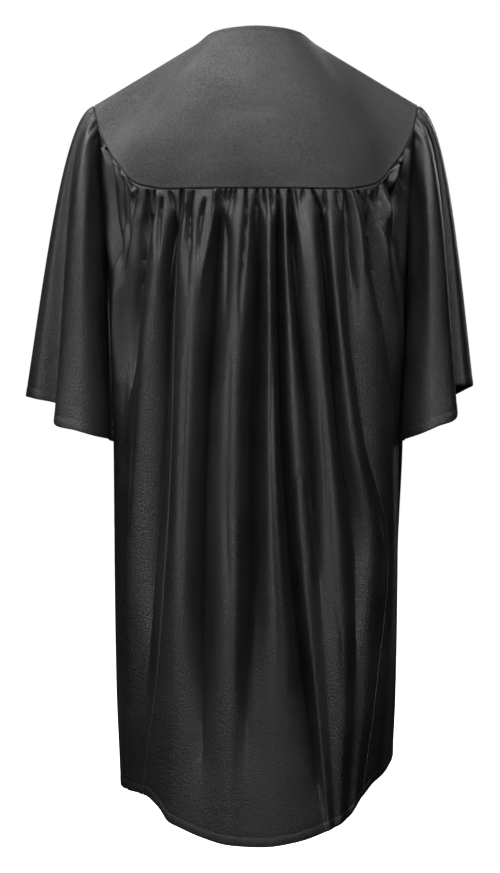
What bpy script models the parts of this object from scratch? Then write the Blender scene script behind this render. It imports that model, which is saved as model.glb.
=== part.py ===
"""Child's choir robe, filled out as it hangs when worn, with nobody in it.

The front faces -Y, the back +Y, the wearer's left is +X and up is +Z. The origin is the centre of the
neck opening, level with the points where the shoulder line meets the neck. A drop is a distance below
that level. A turn is an angle around the body in degrees: 0 at the back centre, 90 at the wearer's
left, 180 at the front centre, and negative on the wearer's right. Along is a distance on the body's
upper edge from the back centre: over the yoke seam to the armhole, round it under the arm, and over
the front yoke seam to the front opening, again negative on the wearer's right.
"""

import math

import bmesh
import bpy
import numpy as np
from mathutils import Matrix, Vector

WALL = 0.0012
YOKE_WALL = 0.0016
SEAM_GAP = 0.0003

SQUARENESS = 2.4  # exponent of the body's rounded cross-section, where 2 would be an ellipse

ARMHOLE_TOP = 0.214  # along, where the yoke, the body and the sleeve meet at the back
SHOULDER_TIP = 0.241  # along the yoke's edge, at the outer end of the shoulder seam
ARMHOLE_FRONT = 0.506  # along, where they meet again at the front
YOKE_AT_ARMHOLE_FRONT = 0.268  # the same place, measured along the yoke's own edge
FRONT_EDGE = 0.676
YOKE_FRONT_EDGE = YOKE_AT_ARMHOLE_FRONT + FRONT_EDGE - ARMHOLE_FRONT
OPENING_TURN = 179.45
UNDERARM_DROP = 0.250
ROUNDING = 1e-6  # slack when places along an edge are compared

GATHER_PITCH = 0.0079
GATHER_HEIGHT = 0.0017
GATHER_LENGTH = 0.045
GATHER_SHIFTS = ((0.22, 0.0170), (0.15, 0.0071))  # in pitches, each with its wave's length over 2 pi
GATHER_UNEVENNESS = (0.35, 0.0120)  # share of the length, with its wave's length over 2 pi
GATHER_RISE = 0.008  # distance below the seam in which a gather reaches its full height
GATHER_AT_SEAM = 0.4  # share of that height at the seam itself
GATHERS_START = 0.008  # distance from the armhole to the first gather
GATHERS_FULL = 0.030  # and to the first one of full height
GATHERS_END = 0.014  # distance from the front opening to the last gather
GATHERS_FADE = 0.026  # and to the last one of full height
FOLD_START = 0.060  # distance below the seam in which a fold reaches its full depth
NARROW_FOLD = 0.0165  # below this distance between two fold lines the mesh has fewer columns there
COLUMNS_NARROW = 4
COLUMNS_WIDE = 6

TILT_FROM = 0.130  # along the yoke's edge, where its cloth starts to tip over towards the shoulder
TILT_RISE = 1.5
TILT_DOWN_ARMHOLE = 0.035  # distance down the armhole in which the tip fades
YOKE_CURVE_AT_NECK = 0.30  # how far the yoke follows its first direction, as a share of its length
YOKE_CURVE_AT_SEAM = 0.33
NECK_SPREAD = 0.30
SHOULDER_FROM = 0.09  # along the yoke's edge, where its lines start to run to the shoulder

FINE_ROWS = (0.0, 0.005, 0.015, 0.036)
COARSE_ROWS = 8
YOKE_ROWS = 5
YOKE_TIP_COLUMNS = 4
SLEEVE_ROWS = 9
SLEEVE_ROW_GROWTH = 1.25
SLEEVE_COLUMNS = 48
CAP_GATHERS = 11
CAP_GATHER_HEIGHT = 0.0012
CAP_GATHER_SPAN = (0.03, 0.06, 0.20)  # shares of the sleeve's length: full height from, to, and gone
CAP_FALL = 0.030  # how steeply the sleeve's top leaves the armhole, as a share of its length
UNDER_FALL = 0.130
HEM_CURVE = 0.45  # how far up the sleeve its hem still steers its lines
HEM_PUFF = (0.012, 0.0, 0.0)


def table(columns, rows):
    """A dictionary of arrays, one for each named column."""
    return {name: np.array(values) for name, values in zip(columns.split(), zip(*rows))}


# The plain body, without its folds
BODY_FORM = table(
    "drop   half_width back_depth front_depth",
    [
        (0.073, 0.1800, 0.088, 0.080),
        (0.100, 0.1780, 0.096, 0.089),
        (0.130, 0.1755, 0.104, 0.096),
        (0.160, 0.1710, 0.112, 0.101),
        (0.180, 0.1680, 0.1165, 0.104),
        (0.220, 0.1655, 0.122, 0.109),
        (0.260, 0.1640, 0.126, 0.114),
        (0.320, 0.1618, 0.1273, 0.1165),
        (0.380, 0.1595, 0.1286, 0.1194),
        (0.450, 0.1578, 0.130, 0.122),
        (0.600, 0.1565, 0.130, 0.124),
        (0.720, 0.1545, 0.129, 0.124),
        (0.800, 0.1510, 0.128, 0.124),
        (0.880, 0.1480, 0.127, 0.124),
    ],
)

# The yoke's lower edge, from the back centre round its rounded corner to the shoulder tip
YOKE_BACK_EDGE = table(
    "along  x       drop",
    [
        (0.000, 0.0000, 0.1780),
        (0.060, 0.0600, 0.1780),
        (0.095, 0.0950, 0.1775),
        (0.118, 0.1175, 0.1735),
        (0.131, 0.1297, 0.1690),
        (0.143, 0.1387, 0.1615),
        (0.157, 0.1467, 0.1500),
        (0.172, 0.1560, 0.1380),
        (0.191, 0.1650, 0.1215),
        (0.214, 0.1735, 0.1000),
        (0.241, 0.1800, 0.0733),
    ],
)

YOKE_FRONT_EDGE_LINE = table(
    "along  turn   drop",
    [
        (0.241, 90.0, 0.0733),
        (0.268, 104.1, 0.1000),
        (0.292, 113.0, 0.1180),
        (0.315, 123.0, 0.1300),
        (0.340, 133.0, 0.1355),
        (0.370, 145.0, 0.1370),
        (0.438, OPENING_TURN, 0.1370),
    ],
)

# The armhole below the yoke
ARMHOLE_EDGE = table(
    "along  turn   drop",
    [
        (0.214, 75.9, 0.100),
        (0.254, 76.5, 0.140),
        (0.295, 78.3, 0.180),
        (0.333, 82.0, 0.220),
        (0.360, 90.0, 0.250),
        (0.387, 98.0, 0.220),
        (0.425, 101.7, 0.180),
        (0.466, 103.5, 0.140),
        (0.506, 104.1, 0.100),
    ],
)

# The neck edge of one side; its angle runs like a turn, and a negative drop is above the origin
NECK_EDGE = table(
    "angle  x       y       drop",
    [
        (-30, -0.0290, 0.0475, -0.0050),
        (0, 0.0000, 0.0550, -0.0060),
        (30, 0.0290, 0.0475, -0.0050),
        (60, 0.0495, 0.0265, -0.0032),
        (90, 0.0565, 0.0000, -0.0010),
        (110, 0.0540, -0.0200, 0.0060),
        (130, 0.0440, -0.0380, 0.0200),
        (150, 0.0290, -0.0540, 0.0380),
        (168, 0.0130, -0.0660, 0.0550),
        (180, 0.0033, -0.0710, 0.0640),
    ],
)

HEM = table(
    "turn  drop",
    [
        (-180, 0.8450),
        (-130, 0.8220),
        (-90, 0.7940),
        (-76, 0.7960),
        (-69, 0.8030),
        (-54, 0.8120),
        (-46, 0.8260),
        (-42, 0.8345),
        (-38, 0.8450),
        (-28, 0.8570),
        (-12, 0.8690),
        (0, 0.8735),
        (9, 0.8710),
        (20, 0.8635),
        (29, 0.8550),
        (35, 0.8495),
        (41, 0.8350),
        (50, 0.8245),
        (66, 0.8235),
        (90, 0.8250),
        (130, 0.8320),
        (180, 0.8450),
    ],
)

# Crests and hollows of the folds, in order from the wearer's left front round the back to the right
# front. Along and the x or turn at each named drop, in mm or degrees, say where a fold runs. Depth is
# how far it stands out (or in, when negative) in mm, down to the full drop, and it is gone by the last.
FOLD_DROPS = (0.240, 0.320, 0.440, 0.570, 0.700)
FOLD_COLUMNS = "name along at_240 at_320 at_440 at_570 at_700 at_hem depth full gone"
LEFT_FOLDS = [
    ("front_edge_left", 676, *[OPENING_TURN] * 6, 0, 300, 400),
    ("front_crest_1_left", 662, 170, 170, 170, 170, 170, 170, 3, 560, 800),
    ("front_hollow_1_left", 647, 162, 161, 160, 160, 160, 160, -8, 560, 760),
    ("front_crest_2_left", 631, 152, 151, 150, 149, 149, 149, 5, 480, 700),
    ("front_hollow_2_left", 613, 144, 142, 140, 139, 139, 139, -9, 500, 700),
    ("front_crest_3_left", 595, 136, 133, 131, 130, 129, 128, 5, 420, 700),
    ("front_hollow_3_left", 576, 127, 124, 122, 121, 120, 119, -7, 420, 620),
    ("front_crest_4_left", 554, 118, 114, 112, 111, 110, 110, 4, 340, 560),
    ("front_hollow_4_left", 530, 110, 106, 104, 103, 103, 103, -4, 290, 420),
    ("armhole_front_left", 506, 104, 99, 97, 97, 97, 97, 0, 250, 350),
    ("arm_front_left", 425, 99, 95, 94, 94, 94, 94, 0, 250, 350),
    ("side_seam_left", 360, 90, 90, 90, 90, 90, 90, 0, 250, 350),
    ("arm_back_left", 290, 80, 84, 86, 86, 86, 86, 0, 250, 350),
    ("armhole_back_left", 214, 75, 80, 83, 83, 83, 83, 0, 250, 350),
    ("sleeve_crest_left", 190, 70, 76, 79, 79, 79, 80, 2, 250, 320),
    ("sleeve_hollow_left", 160, 64, 72, 75, 75, 75, 77, -4, 240, 290),
    ("corner_crest_left", 130, 58, 67, 71, 71, 71, 73, 4, 310, 450),
    ("corner_hollow_left", 117, 45, 56, 62, 64, 65, 68, -7, 320, 420),
]
BACK_FOLDS = [
    ("crest_b", 101, 105, 116, 130, 135, 136, 138, 5, 470, 640),
    ("hollow_1", 88, 92, 98, 106, 115, 118, 129, -10, 470, 600),
    ("panel_seam_left", 79, 84, 88, 91, 97, 106, 122, -3, 480, 650),
    ("crest_c", 57, 64, 71, 77, 81, 88, 94, 5, 560, 800),
    ("hollow_2", 34, 43, 48, 56, 60, 60, 57, -10, 600, 760),
    ("crest_d", 17, 20, 22, 27, 27, 30, 30, 5, 560, 800),
    ("hollow_3", -2, -3, -2, 4, 4, 10, 12, -10, 600, 720),
    ("crest_e", -14, -13, -14, -16, -18, -22, -23, 5, 600, 800),
    ("hollow_4", -24, -24, -25, -29, -39, -55, -72, -8, 680, 840),
    ("crest_f", -31, -31, -35, -42, -51, -63, -78, 1, 500, 640),
    ("hollow_5", -37, -38, -45, -58, -67, -74, -84, -7, 440, 570),
    ("crest_g", -51, -58, -64, -73, -86, -91, -90, 5, 720, 840),
    ("hollow_6", -69, -73, -80, -92, -112, -108, -98, -8, 520, 650),
    ("crest_h", -77, -80, -88, -104, -128, -119, -105, 3, 520, 650),
    ("panel_seam_right", -92, -98, -103, -122, -144, -131, -113, -6, 420, 560),
    ("crest_i", -105, -111, -127, -144, -150, -141, -127, 4, 400, 520),
]
RIGHT_FOLDS = [
    ("corner_hollow_right", -123, -48, -60, -74, -79, -75, -68, -6, 320, 420),
    ("corner_crest_right", -138, -60, -75, -81, -83, -80, -76, 3, 300, 400),
    ("sleeve_hollow_right", -165, -68, -79, -84, -85, -84, -82, -4, 240, 290),
    ("armhole_back_right", -214, -76, -83, -86, -87, -86, -85, 0, 250, 350),
    ("arm_back_right", -290, -81, -86, -88, -88, -88, -88, 4, 440, 580),
    ("side_seam_right", -360, -90, -90, -90, -90, -90, -90, 5, 440, 580),
    ("arm_front_right", -425, -99, -95, -94, -94, -94, -94, 4, 440, 580),
    ("armhole_front_right", -506, -104, -99, -97, -97, -97, -97, 0, 250, 350),
    ("front_hollow_4_right", -527, -109, -106, -105, -104, -104, -104, -4, 290, 400),
    ("front_crest_4_right", -549, -117, -115, -113, -112, -111, -111, 4, 360, 600),
    ("front_hollow_3_right", -572, -126, -125, -123, -122, -122, -121, -8, 460, 640),
    ("front_crest_3_right", -592, -135, -134, -132, -132, -131, -130, 5, 420, 680),
    ("front_hollow_2_right", -610, -143, -143, -142, -141, -141, -140, -8, 440, 620),
    ("front_crest_2_right", -628, -151, -151, -151, -150, -150, -149, 5, 520, 740),
    ("front_hollow_1_right", -646, -161, -160, -159, -159, -160, -160, -9, 600, 790),
    ("front_crest_1_right", -661, -170, -169, -169, -169, -170, -170, 3, 560, 800),
    ("front_edge_right", -676, *[-OPENING_TURN] * 6, 0, 300, 400),
]

PANELS = (
    ("front_left", "front_edge_left", "side_seam_left"),
    ("back_side_left", "side_seam_left", "panel_seam_left"),
    ("back_centre", "panel_seam_left", "panel_seam_right"),
    ("back_side_right", "panel_seam_right", "side_seam_right"),
    ("front_right", "side_seam_right", "front_edge_right"),
)

# Each sleeve, in order round its hem from the outermost point over the back to the body and on over
# the front. Cap is the distance down the armhole from the shoulder tip, where that line is sewn in.
# Swing and sway say how far out and back the line leaves the armhole, as shares of its length.
SLEEVE_COLUMN_NAMES = "name cap x y drop swing sway"
SLEEVE_LEFT = [
    ("outermost", 0, 0.2565, -0.005, 0.396, 0.100, 0.00),
    ("outer_crest", 5, 0.2440, 0.022, 0.399, 0.100, 0.02),
    ("valley", 12, 0.2150, 0.020, 0.407, 0.095, 0.02),
    ("back_crest", 22, 0.2190, 0.062, 0.427, 0.080, 0.20),
    ("back_middle", 48, 0.1950, 0.074, 0.434, 0.050, 0.24),
    ("inner_turn", 78, 0.1745, 0.0655, 0.440, 0.030, 0.16),
    ("inner_back", 110, 0.1605, 0.042, 0.446, 0.018, 0.080),
    ("against_body", 173, 0.1625, 0.000, 0.446, 0.008, 0.00),
    ("inner_front", 236, 0.1590, -0.054, 0.440, 0.030, -0.06),
    ("front_turn", 268, 0.1740, -0.080, 0.431, 0.020, -0.14),
    ("front_middle", 298, 0.1930, -0.086, 0.425, 0.050, -0.20),
    ("front_crest", 324, 0.2160, -0.078, 0.414, 0.080, -0.15),
    ("front_valley", 334, 0.2200, -0.040, 0.404, 0.095, -0.02),
    ("outer_front_crest", 341, 0.2490, -0.036, 0.398, 0.100, -0.02),
    ("outermost", 346, 0.2565, -0.005, 0.396, 0.100, 0.00),
]
SLEEVE_RIGHT = [
    ("outermost", 0, 0.2420, -0.006, 0.384, 0.100, 0.00),
    ("outer_crest", 5, 0.2320, 0.018, 0.384, 0.100, 0.02),
    ("valley", 12, 0.2130, 0.020, 0.389, 0.095, 0.02),
    ("back_crest", 22, 0.2180, 0.062, 0.419, 0.080, 0.20),
    ("back_middle", 48, 0.1950, 0.0745, 0.430, 0.050, 0.24),
    ("inner_turn", 78, 0.1765, 0.067, 0.438, 0.060, 0.14),
    ("inner_back", 110, 0.1615, 0.042, 0.445, 0.036, 0.080),
    ("against_body", 173, 0.1668, 0.000, 0.446, 0.035, 0.00),
    ("inner_front", 236, 0.1600, -0.054, 0.440, 0.034, -0.06),
    ("front_turn", 268, 0.1740, -0.078, 0.431, 0.020, -0.14),
    ("front_middle", 298, 0.1930, -0.084, 0.424, 0.050, -0.20),
    ("front_crest", 324, 0.2130, -0.076, 0.412, 0.080, -0.15),
    ("front_valley", 334, 0.2150, -0.042, 0.400, 0.095, -0.02),
    ("outer_front_crest", 341, 0.2360, -0.038, 0.388, 0.100, -0.02),
    ("outermost", 346, 0.2420, -0.006, 0.384, 0.100, 0.00),
]
SLEEVES = (
    ("sleeve_left", SLEEVE_LEFT, 1),
    ("sleeve_right", SLEEVE_RIGHT, -1),
)

ZIP_TOP = 0.068
ZIP_BOTTOM = 0.815
ZIP_STATIONS = 18
TAPE_HALF_WIDTH = 0.012
TAPE_THICKNESS = 0.0009
CHAIN_HALF_WIDTH = 0.0018
CHAIN_HEIGHT = 0.0019
SLIDER_DROP = 0.082
SLIDER_SIZE = (0.0080, 0.0022, 0.0100)  # width, thickness and height
EAR_SIZE = (0.0010, 0.0034, 0.0036)
EAR_SPREAD = 0.0025
EAR_SINK = 0.0002
PIN_RADIUS = 0.0005
PIN_STANDOFF = 0.0022
PULL_EYE_RADIUS = 0.0013
PULL_EYE_HOLE = 0.0008
PULL_EYE_WIDTH = 0.0032
PULL_NECK = 0.0036
PULL_LENGTH = 0.024
PULL_WIDTH = 0.0058
PULL_THICKNESS = 0.0010
ROD_SIDES = 16


def smooth(knots, values, where):
    """Values on a cubic curve through the knots that is level at its crests and never overshoots."""
    steps = np.diff(knots)
    rises = np.diff(values) / steps
    same_way = rises[:-1] * rises[1:] > 0
    slopes = np.concatenate([[rises[0]], np.zeros(len(rises) - 1), [rises[-1]]])
    slopes[1:-1][same_way] = 2 / (1 / rises[:-1][same_way] + 1 / rises[1:][same_way])
    where = np.clip(where, knots[0], knots[-1])
    cell = np.clip(np.searchsorted(knots, where, side="right") - 1, 0, len(steps) - 1)
    step = steps[cell]
    part = (where - knots[cell]) / step
    return (
        (1 + 2 * part) * (1 - part) ** 2 * values[cell]
        + part * (1 - part) ** 2 * step * slopes[cell]
        + part**2 * (3 - 2 * part) * values[cell + 1]
        + part**2 * (part - 1) * step * slopes[cell + 1]
    )


def ease(value, low, high):
    """0 up to low, 1 from high on, and a soft step between them."""
    part = np.clip((value - low) / (high - low), 0, 1)
    return part * part * (3 - 2 * part)


def unit(vectors):
    """The vectors, each made one long."""
    return vectors / np.linalg.norm(vectors, axis=-1, keepdims=True)


def body_form(turn, drop):
    """Points of the plain body at the turns and drops."""
    half_width = smooth(BODY_FORM["drop"], BODY_FORM["half_width"], drop)
    back = smooth(BODY_FORM["drop"], BODY_FORM["back_depth"], drop)
    front = smooth(BODY_FORM["drop"], BODY_FORM["front_depth"], drop)
    across = np.sin(np.radians(turn))
    ahead = np.cos(np.radians(turn))
    power = 2 / SQUARENESS
    x = half_width * np.sign(across) * np.abs(across) ** power
    y = np.where(ahead > 0, back, front) * np.sign(ahead) * np.abs(ahead) ** power
    return np.stack([x, y, -drop + 0 * x], axis=-1)


def form_normal(turn, drop):
    """Level outward directions of the plain body."""
    point = body_form(turn, drop)
    half_width = smooth(BODY_FORM["drop"], BODY_FORM["half_width"], drop)
    back = smooth(BODY_FORM["drop"], BODY_FORM["back_depth"], drop)
    front = smooth(BODY_FORM["drop"], BODY_FORM["front_depth"], drop)
    depth = np.where(point[..., 1] > 0, back, front)
    power = SQUARENESS - 1
    x = np.sign(point[..., 0]) * np.abs(point[..., 0] / half_width) ** power / half_width
    y = np.sign(point[..., 1]) * np.abs(point[..., 1] / depth) ** power / depth
    return unit(np.stack([x, y, 0 * x], axis=-1))


def turn_at(x, drop):
    """The turn at which the plain body's back has this x."""
    half_width = smooth(BODY_FORM["drop"], BODY_FORM["half_width"], drop)
    share = np.clip(np.abs(x) / half_width, 0, 1) ** (SQUARENESS / 2)
    return np.sign(x) * np.degrees(np.arcsin(share))


def yoke_edge(along):
    """Turn and drop on the yoke's lower edge, back and front."""
    reach = np.abs(along)
    back_drop = smooth(YOKE_BACK_EDGE["along"], YOKE_BACK_EDGE["drop"], reach)
    back_x = smooth(YOKE_BACK_EDGE["along"], YOKE_BACK_EDGE["x"], reach)
    front_turn = smooth(YOKE_FRONT_EDGE_LINE["along"], YOKE_FRONT_EDGE_LINE["turn"], reach)
    front_drop = smooth(YOKE_FRONT_EDGE_LINE["along"], YOKE_FRONT_EDGE_LINE["drop"], reach)
    behind = reach <= SHOULDER_TIP
    turn = np.where(behind, turn_at(back_x, back_drop), front_turn)
    return np.sign(along) * turn, np.where(behind, back_drop, front_drop)


def body_edge(along):
    """Turn and drop on the body's upper edge: yoke seam, armhole, front yoke seam."""
    reach = np.abs(along)
    on_front = reach > ARMHOLE_FRONT
    yoke_along = np.where(on_front, reach - ARMHOLE_FRONT + YOKE_AT_ARMHOLE_FRONT, reach)
    yoke_turn, yoke_drop = yoke_edge(yoke_along)
    arm_turn = smooth(ARMHOLE_EDGE["along"], ARMHOLE_EDGE["turn"], reach)
    arm_drop = smooth(ARMHOLE_EDGE["along"], ARMHOLE_EDGE["drop"], reach)
    on_arm = (reach > ARMHOLE_TOP) & ~on_front
    return np.sign(along) * np.where(on_arm, arm_turn, yoke_turn), np.where(on_arm, arm_drop, yoke_drop)


def seam_normal(along, turn, drop, on_yoke):
    """Outward direction shared by both sides of a seam: level, but tilted up towards the shoulder."""
    reach = np.abs(along)
    from_tip = np.where(reach > SHOULDER_TIP, 2 * SHOULDER_TIP - reach, reach)
    tilt = ease(from_tip, TILT_FROM, SHOULDER_TIP)
    if not on_yoke:
        front = 2 * SHOULDER_TIP - (reach - ARMHOLE_FRONT + YOKE_AT_ARMHOLE_FRONT)
        beside = np.where(reach > ARMHOLE_FRONT, front, np.minimum(reach, ARMHOLE_TOP))
        past = np.minimum(reach - ARMHOLE_TOP, ARMHOLE_FRONT - reach)
        tilt = ease(beside, TILT_FROM, SHOULDER_TIP) * (1 - ease(past, 0.0, TILT_DOWN_ARMHOLE))
    level = form_normal(turn, drop)
    return unit(level + tilt[..., None] * np.array([0.0, 0.0, TILT_RISE]))


def fold_lines():
    """Each fold's row as a dictionary, with its turns in degrees and its lengths in metres."""
    lines = []
    names = FOLD_COLUMNS.split()
    for rows, by_x in ((LEFT_FOLDS, False), (BACK_FOLDS, True), (RIGHT_FOLDS, False)):
        for row in rows:
            fold = dict(zip(names, row))
            along = fold["along"] / 1000
            top_turn, top_drop = body_edge(np.array(along))
            places = np.array([fold[name] for name in names[2:8]], float)
            if by_x:
                drops = np.array(FOLD_DROPS + (0.840,))
                places = turn_at(places / 1000, drops)
            hem_drop = smooth(HEM["turn"], HEM["drop"], places[-1])
            drops = np.array(FOLD_DROPS + (float(hem_drop),))
            below = drops > top_drop + 0.02
            lines.append(
                {
                    "name": fold["name"],
                    "along": along,
                    "drops": np.concatenate([[top_drop], drops[below]]),
                    "turns": np.concatenate([[top_turn], places[below]]),
                    "hem_turn": places[-1],
                    "depth": fold["depth"] / 1000,
                    "full": fold["full"] / 1000,
                    "gone": fold["gone"] / 1000,
                }
            )
    return lines


def line_turn(line, drop):
    """Where a fold line runs at these drops."""
    return smooth(line["drops"], line["turns"], drop)


def line_depth(line, drop):
    """How far a fold line stands out at these drops; beside an armhole it starts under the arm."""
    beside_arm = ARMHOLE_TOP < abs(line["along"]) < ARMHOLE_FRONT
    start = UNDERARM_DROP if beside_arm else line["drops"][0]
    fade = ease(drop, start, start + FOLD_START) * (1 - ease(drop, line["full"], line["gone"]))
    return line["depth"] * fade


def gather(along, below):
    """The small gathers under the yoke seam, uneven in spacing and length."""
    reach = np.abs(along)
    wave = along / GATHER_PITCH
    for size, swing in GATHER_SHIFTS:
        wave = wave + size * np.sin(along / swing)
    share, swing = GATHER_UNEVENNESS
    length = GATHER_LENGTH * (1 + share * np.sin(along / swing))
    rise = GATHER_AT_SEAM + (1 - GATHER_AT_SEAM) * ease(below, 0.0, GATHER_RISE)
    height = GATHER_HEIGHT * rise * (1 - ease(below, length / 4, length))
    at_back = 1 - ease(reach, ARMHOLE_TOP - GATHERS_FULL, ARMHOLE_TOP - GATHERS_START)
    from_arm = ease(reach, ARMHOLE_FRONT + GATHERS_START, ARMHOLE_FRONT + GATHERS_FULL)
    to_opening = 1 - ease(reach, FRONT_EDGE - GATHERS_FADE, FRONT_EDGE - GATHERS_END)
    return height * (at_back + from_arm * to_opening) * np.cos(2 * math.pi * wave)


def body_columns(lines):
    """Positions of the mesh's columns, in lines from the first: two fine ones to each coarse one."""
    places = []
    for index, (one, other) in enumerate(zip(lines, lines[1:])):
        narrow = abs(one["along"] - other["along"]) < NARROW_FOLD
        count = COLUMNS_NARROW if narrow else COLUMNS_WIDE
        places.extend(index + np.arange(count) / count)
    return np.array(places + [len(lines) - 1.0])


def body_surface(lines, places):
    """The body's cloth as a grid of outer points and one of outward directions, rows going down."""
    order = np.arange(len(lines))
    alongs = np.interp(places, order, [line["along"] for line in lines])
    top_turn, top_drop = body_edge(alongs)
    hem_turn = smooth(order, np.array([line["hem_turn"] for line in lines]), places)
    hem_drop = smooth(HEM["turn"], HEM["drop"], hem_turn)
    fine = np.array(FINE_ROWS)[:, None] + 0 * places
    shares = np.linspace(0, 1, COARSE_ROWS + 1)[1:, None]
    below = np.concatenate([fine, fine[-1] + shares * (hem_drop - top_drop - fine[-1])])
    drop = top_drop + below
    turn = np.zeros_like(drop)
    depth = np.zeros_like(drop)
    for column, place in enumerate(places):
        cell = min(int(place), len(lines) - 2)
        part = place - cell
        near = range(max(cell - 1, 0), min(cell + 3, len(lines)))
        turns = np.array([line_turn(lines[index], drop[:, column]) for index in near])
        for row in range(len(drop)):
            turn[row, column] = smooth(np.array(near), turns[:, row], place)
        blend = 0.5 - 0.5 * math.cos(math.pi * part)
        one = line_depth(lines[cell], drop[:, column])
        other = line_depth(lines[cell + 1], drop[:, column])
        depth[:, column] = one + blend * (other - one)
    turn += (top_turn - turn[0]) * (1 - ease(below, 0.0, 0.050))
    depth += gather(alongs, below)
    outward = form_normal(turn, drop)
    points = body_form(turn, drop) + outward * depth[..., None]
    normals = grid_normals(points)
    normals[0] = seam_normal(alongs, top_turn, top_drop, on_yoke=False)
    return points, normals, alongs


def grid_normals(points, closed=False):
    """Outward directions of a grid whose rows go down and whose columns go to the viewer's right."""
    down = np.gradient(points, axis=0)
    across = np.gradient(points, axis=1)
    if closed:
        across = (np.roll(points, -1, axis=1) - np.roll(points, 1, axis=1)) / 2
    return unit(np.cross(down, across))


def band_faces(upper, lower):
    """Triangles between two rows of point numbers, where the upper row may have twice as many steps."""
    faces = []
    if len(upper) == len(lower):
        for a, b, c, d in zip(upper, upper[1:], lower, lower[1:]):
            faces += [(a, c, d), (a, d, b)]
        return faces
    for step in range(len(lower) - 1):
        left, middle, right = upper[2 * step : 2 * step + 3]
        faces.append((left, lower[step], middle))
        faces.append((middle, lower[step], lower[step + 1]))
        faces.append((middle, lower[step + 1], right))
    return faces


def cloth(name, outer_rows, inner_rows, material, closed=False, flip=False):
    """A closed wall of cloth between rows of outer points and rows of inner points."""
    numbers = []
    total = 0
    for row in outer_rows:
        numbers.append(list(range(total, total + len(row))) + ([total] if closed else []))
        total += len(row)
    faces = [face for pair in zip(numbers, numbers[1:]) for face in band_faces(*pair)]
    if flip:
        faces = [face[::-1] for face in faces]
    edges = {(a, b) for face in faces for a, b in zip(face, face[1:] + face[:1])}
    rims = [(b, a, a + total, b + total) for a, b in sorted(edges) if (b, a) not in edges]
    inner_faces = [tuple(corner + total for corner in face[::-1]) for face in faces]
    points = np.concatenate([np.concatenate(outer_rows), np.concatenate(inner_rows)])
    mesh = bpy.data.meshes.new(name)
    mesh.from_pydata(points.tolist(), [], faces + inner_faces + rims)
    mesh.validate()
    mesh.shade_smooth()
    mesh.set_sharp_from_angle(angle=math.radians(50))
    return place(name, mesh, material)


def place(name, mesh, material):
    """An object of the mesh in the robe's collection."""
    mesh.materials.append(material)
    thing = bpy.data.objects.new(name, mesh)
    bpy.data.collections["choir_robe"].objects.link(thing)
    return thing


def make_body(lines, satin):
    """The five panels below the yoke, cut from one surface so that their seams agree."""
    places = body_columns(lines)
    points, normals, alongs = body_surface(lines, places)
    edge_way = unit(np.gradient(points[0], axis=0))
    points[0] -= unit(np.cross(edge_way, normals[0])) * SEAM_GAP / 2 * edge_side(points, edge_way, normals)
    inner = points - normals * WALL
    starts = {line["name"]: index for index, line in enumerate(lines)}
    down = unit(np.gradient(points, axis=0))
    beside = unit(np.cross(normals, down)) * SEAM_GAP / 2
    for name, first, last in PANELS:
        begin = int(np.searchsorted(places, starts[first] - ROUNDING))
        end = int(np.searchsorted(places, starts[last] - ROUNDING)) + 1
        faces = []
        for grid in (points, inner):
            part = grid[:, begin:end].copy()
            part[:, 0] += beside[:, begin]
            part[:, -1] -= beside[:, end - 1]
            fine = len(FINE_ROWS)
            faces.append([row if index < fine else row[::2] for index, row in enumerate(part)])
        cloth(name, faces[0], faces[1], satin)


def edge_side(points, edge_way, normals):
    """1 or -1, so that the seam gap is taken from the body's cloth and not added to it."""
    inside = points[1] - points[0]
    way = np.cross(edge_way, normals[0])
    return -np.sign(np.sum(inside * way, axis=-1, keepdims=True))


def neck_edge(along):
    """Points of the neck edge facing these places of the yoke's edge."""
    reach = np.abs(along)
    angle = np.where(
        reach <= SHOULDER_TIP,
        90 * reach / SHOULDER_TIP,
        90 + 90 * (reach - SHOULDER_TIP) / (YOKE_FRONT_EDGE - SHOULDER_TIP),
    )
    x, y, drop = (smooth(NECK_EDGE["angle"], NECK_EDGE[name], angle) for name in ("x", "y", "drop"))
    return np.stack([np.sign(along) * x, y, -drop], axis=-1)


def yoke_surface(along):
    """The yoke as a grid from the neck down to its lower edge."""
    turn, drop = yoke_edge(along)
    seam = body_form(turn, drop)
    neck = neck_edge(along)
    normal = seam_normal(along, turn, drop, on_yoke=True)
    line = seam - neck
    length = np.linalg.norm(line, axis=-1, keepdims=True)
    to_neck = -line / length
    up = unit(to_neck - np.sum(to_neck * normal, axis=-1, keepdims=True) * normal)
    reach = np.abs(along)
    from_tip = np.where(reach > SHOULDER_TIP, 2 * SHOULDER_TIP - reach, reach)
    shoulder = ease(from_tip, SHOULDER_FROM, SHOULDER_TIP)[:, None]
    level = form_normal(turn, drop)
    from_neck = unit(line / length + NECK_SPREAD * (1 - shoulder) * level)
    near_neck = neck + YOKE_CURVE_AT_NECK * length * from_neck
    near_seam = seam + YOKE_CURVE_AT_SEAM * length * unit(up * (1 - shoulder) + to_neck * shoulder)
    share = np.linspace(0, 1, YOKE_ROWS)[:, None, None]
    points = (
        (1 - share) ** 3 * neck
        + 3 * share * (1 - share) ** 2 * near_neck
        + 3 * share**2 * (1 - share) * near_seam
        + share**3 * seam
    )
    return points, normal


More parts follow.
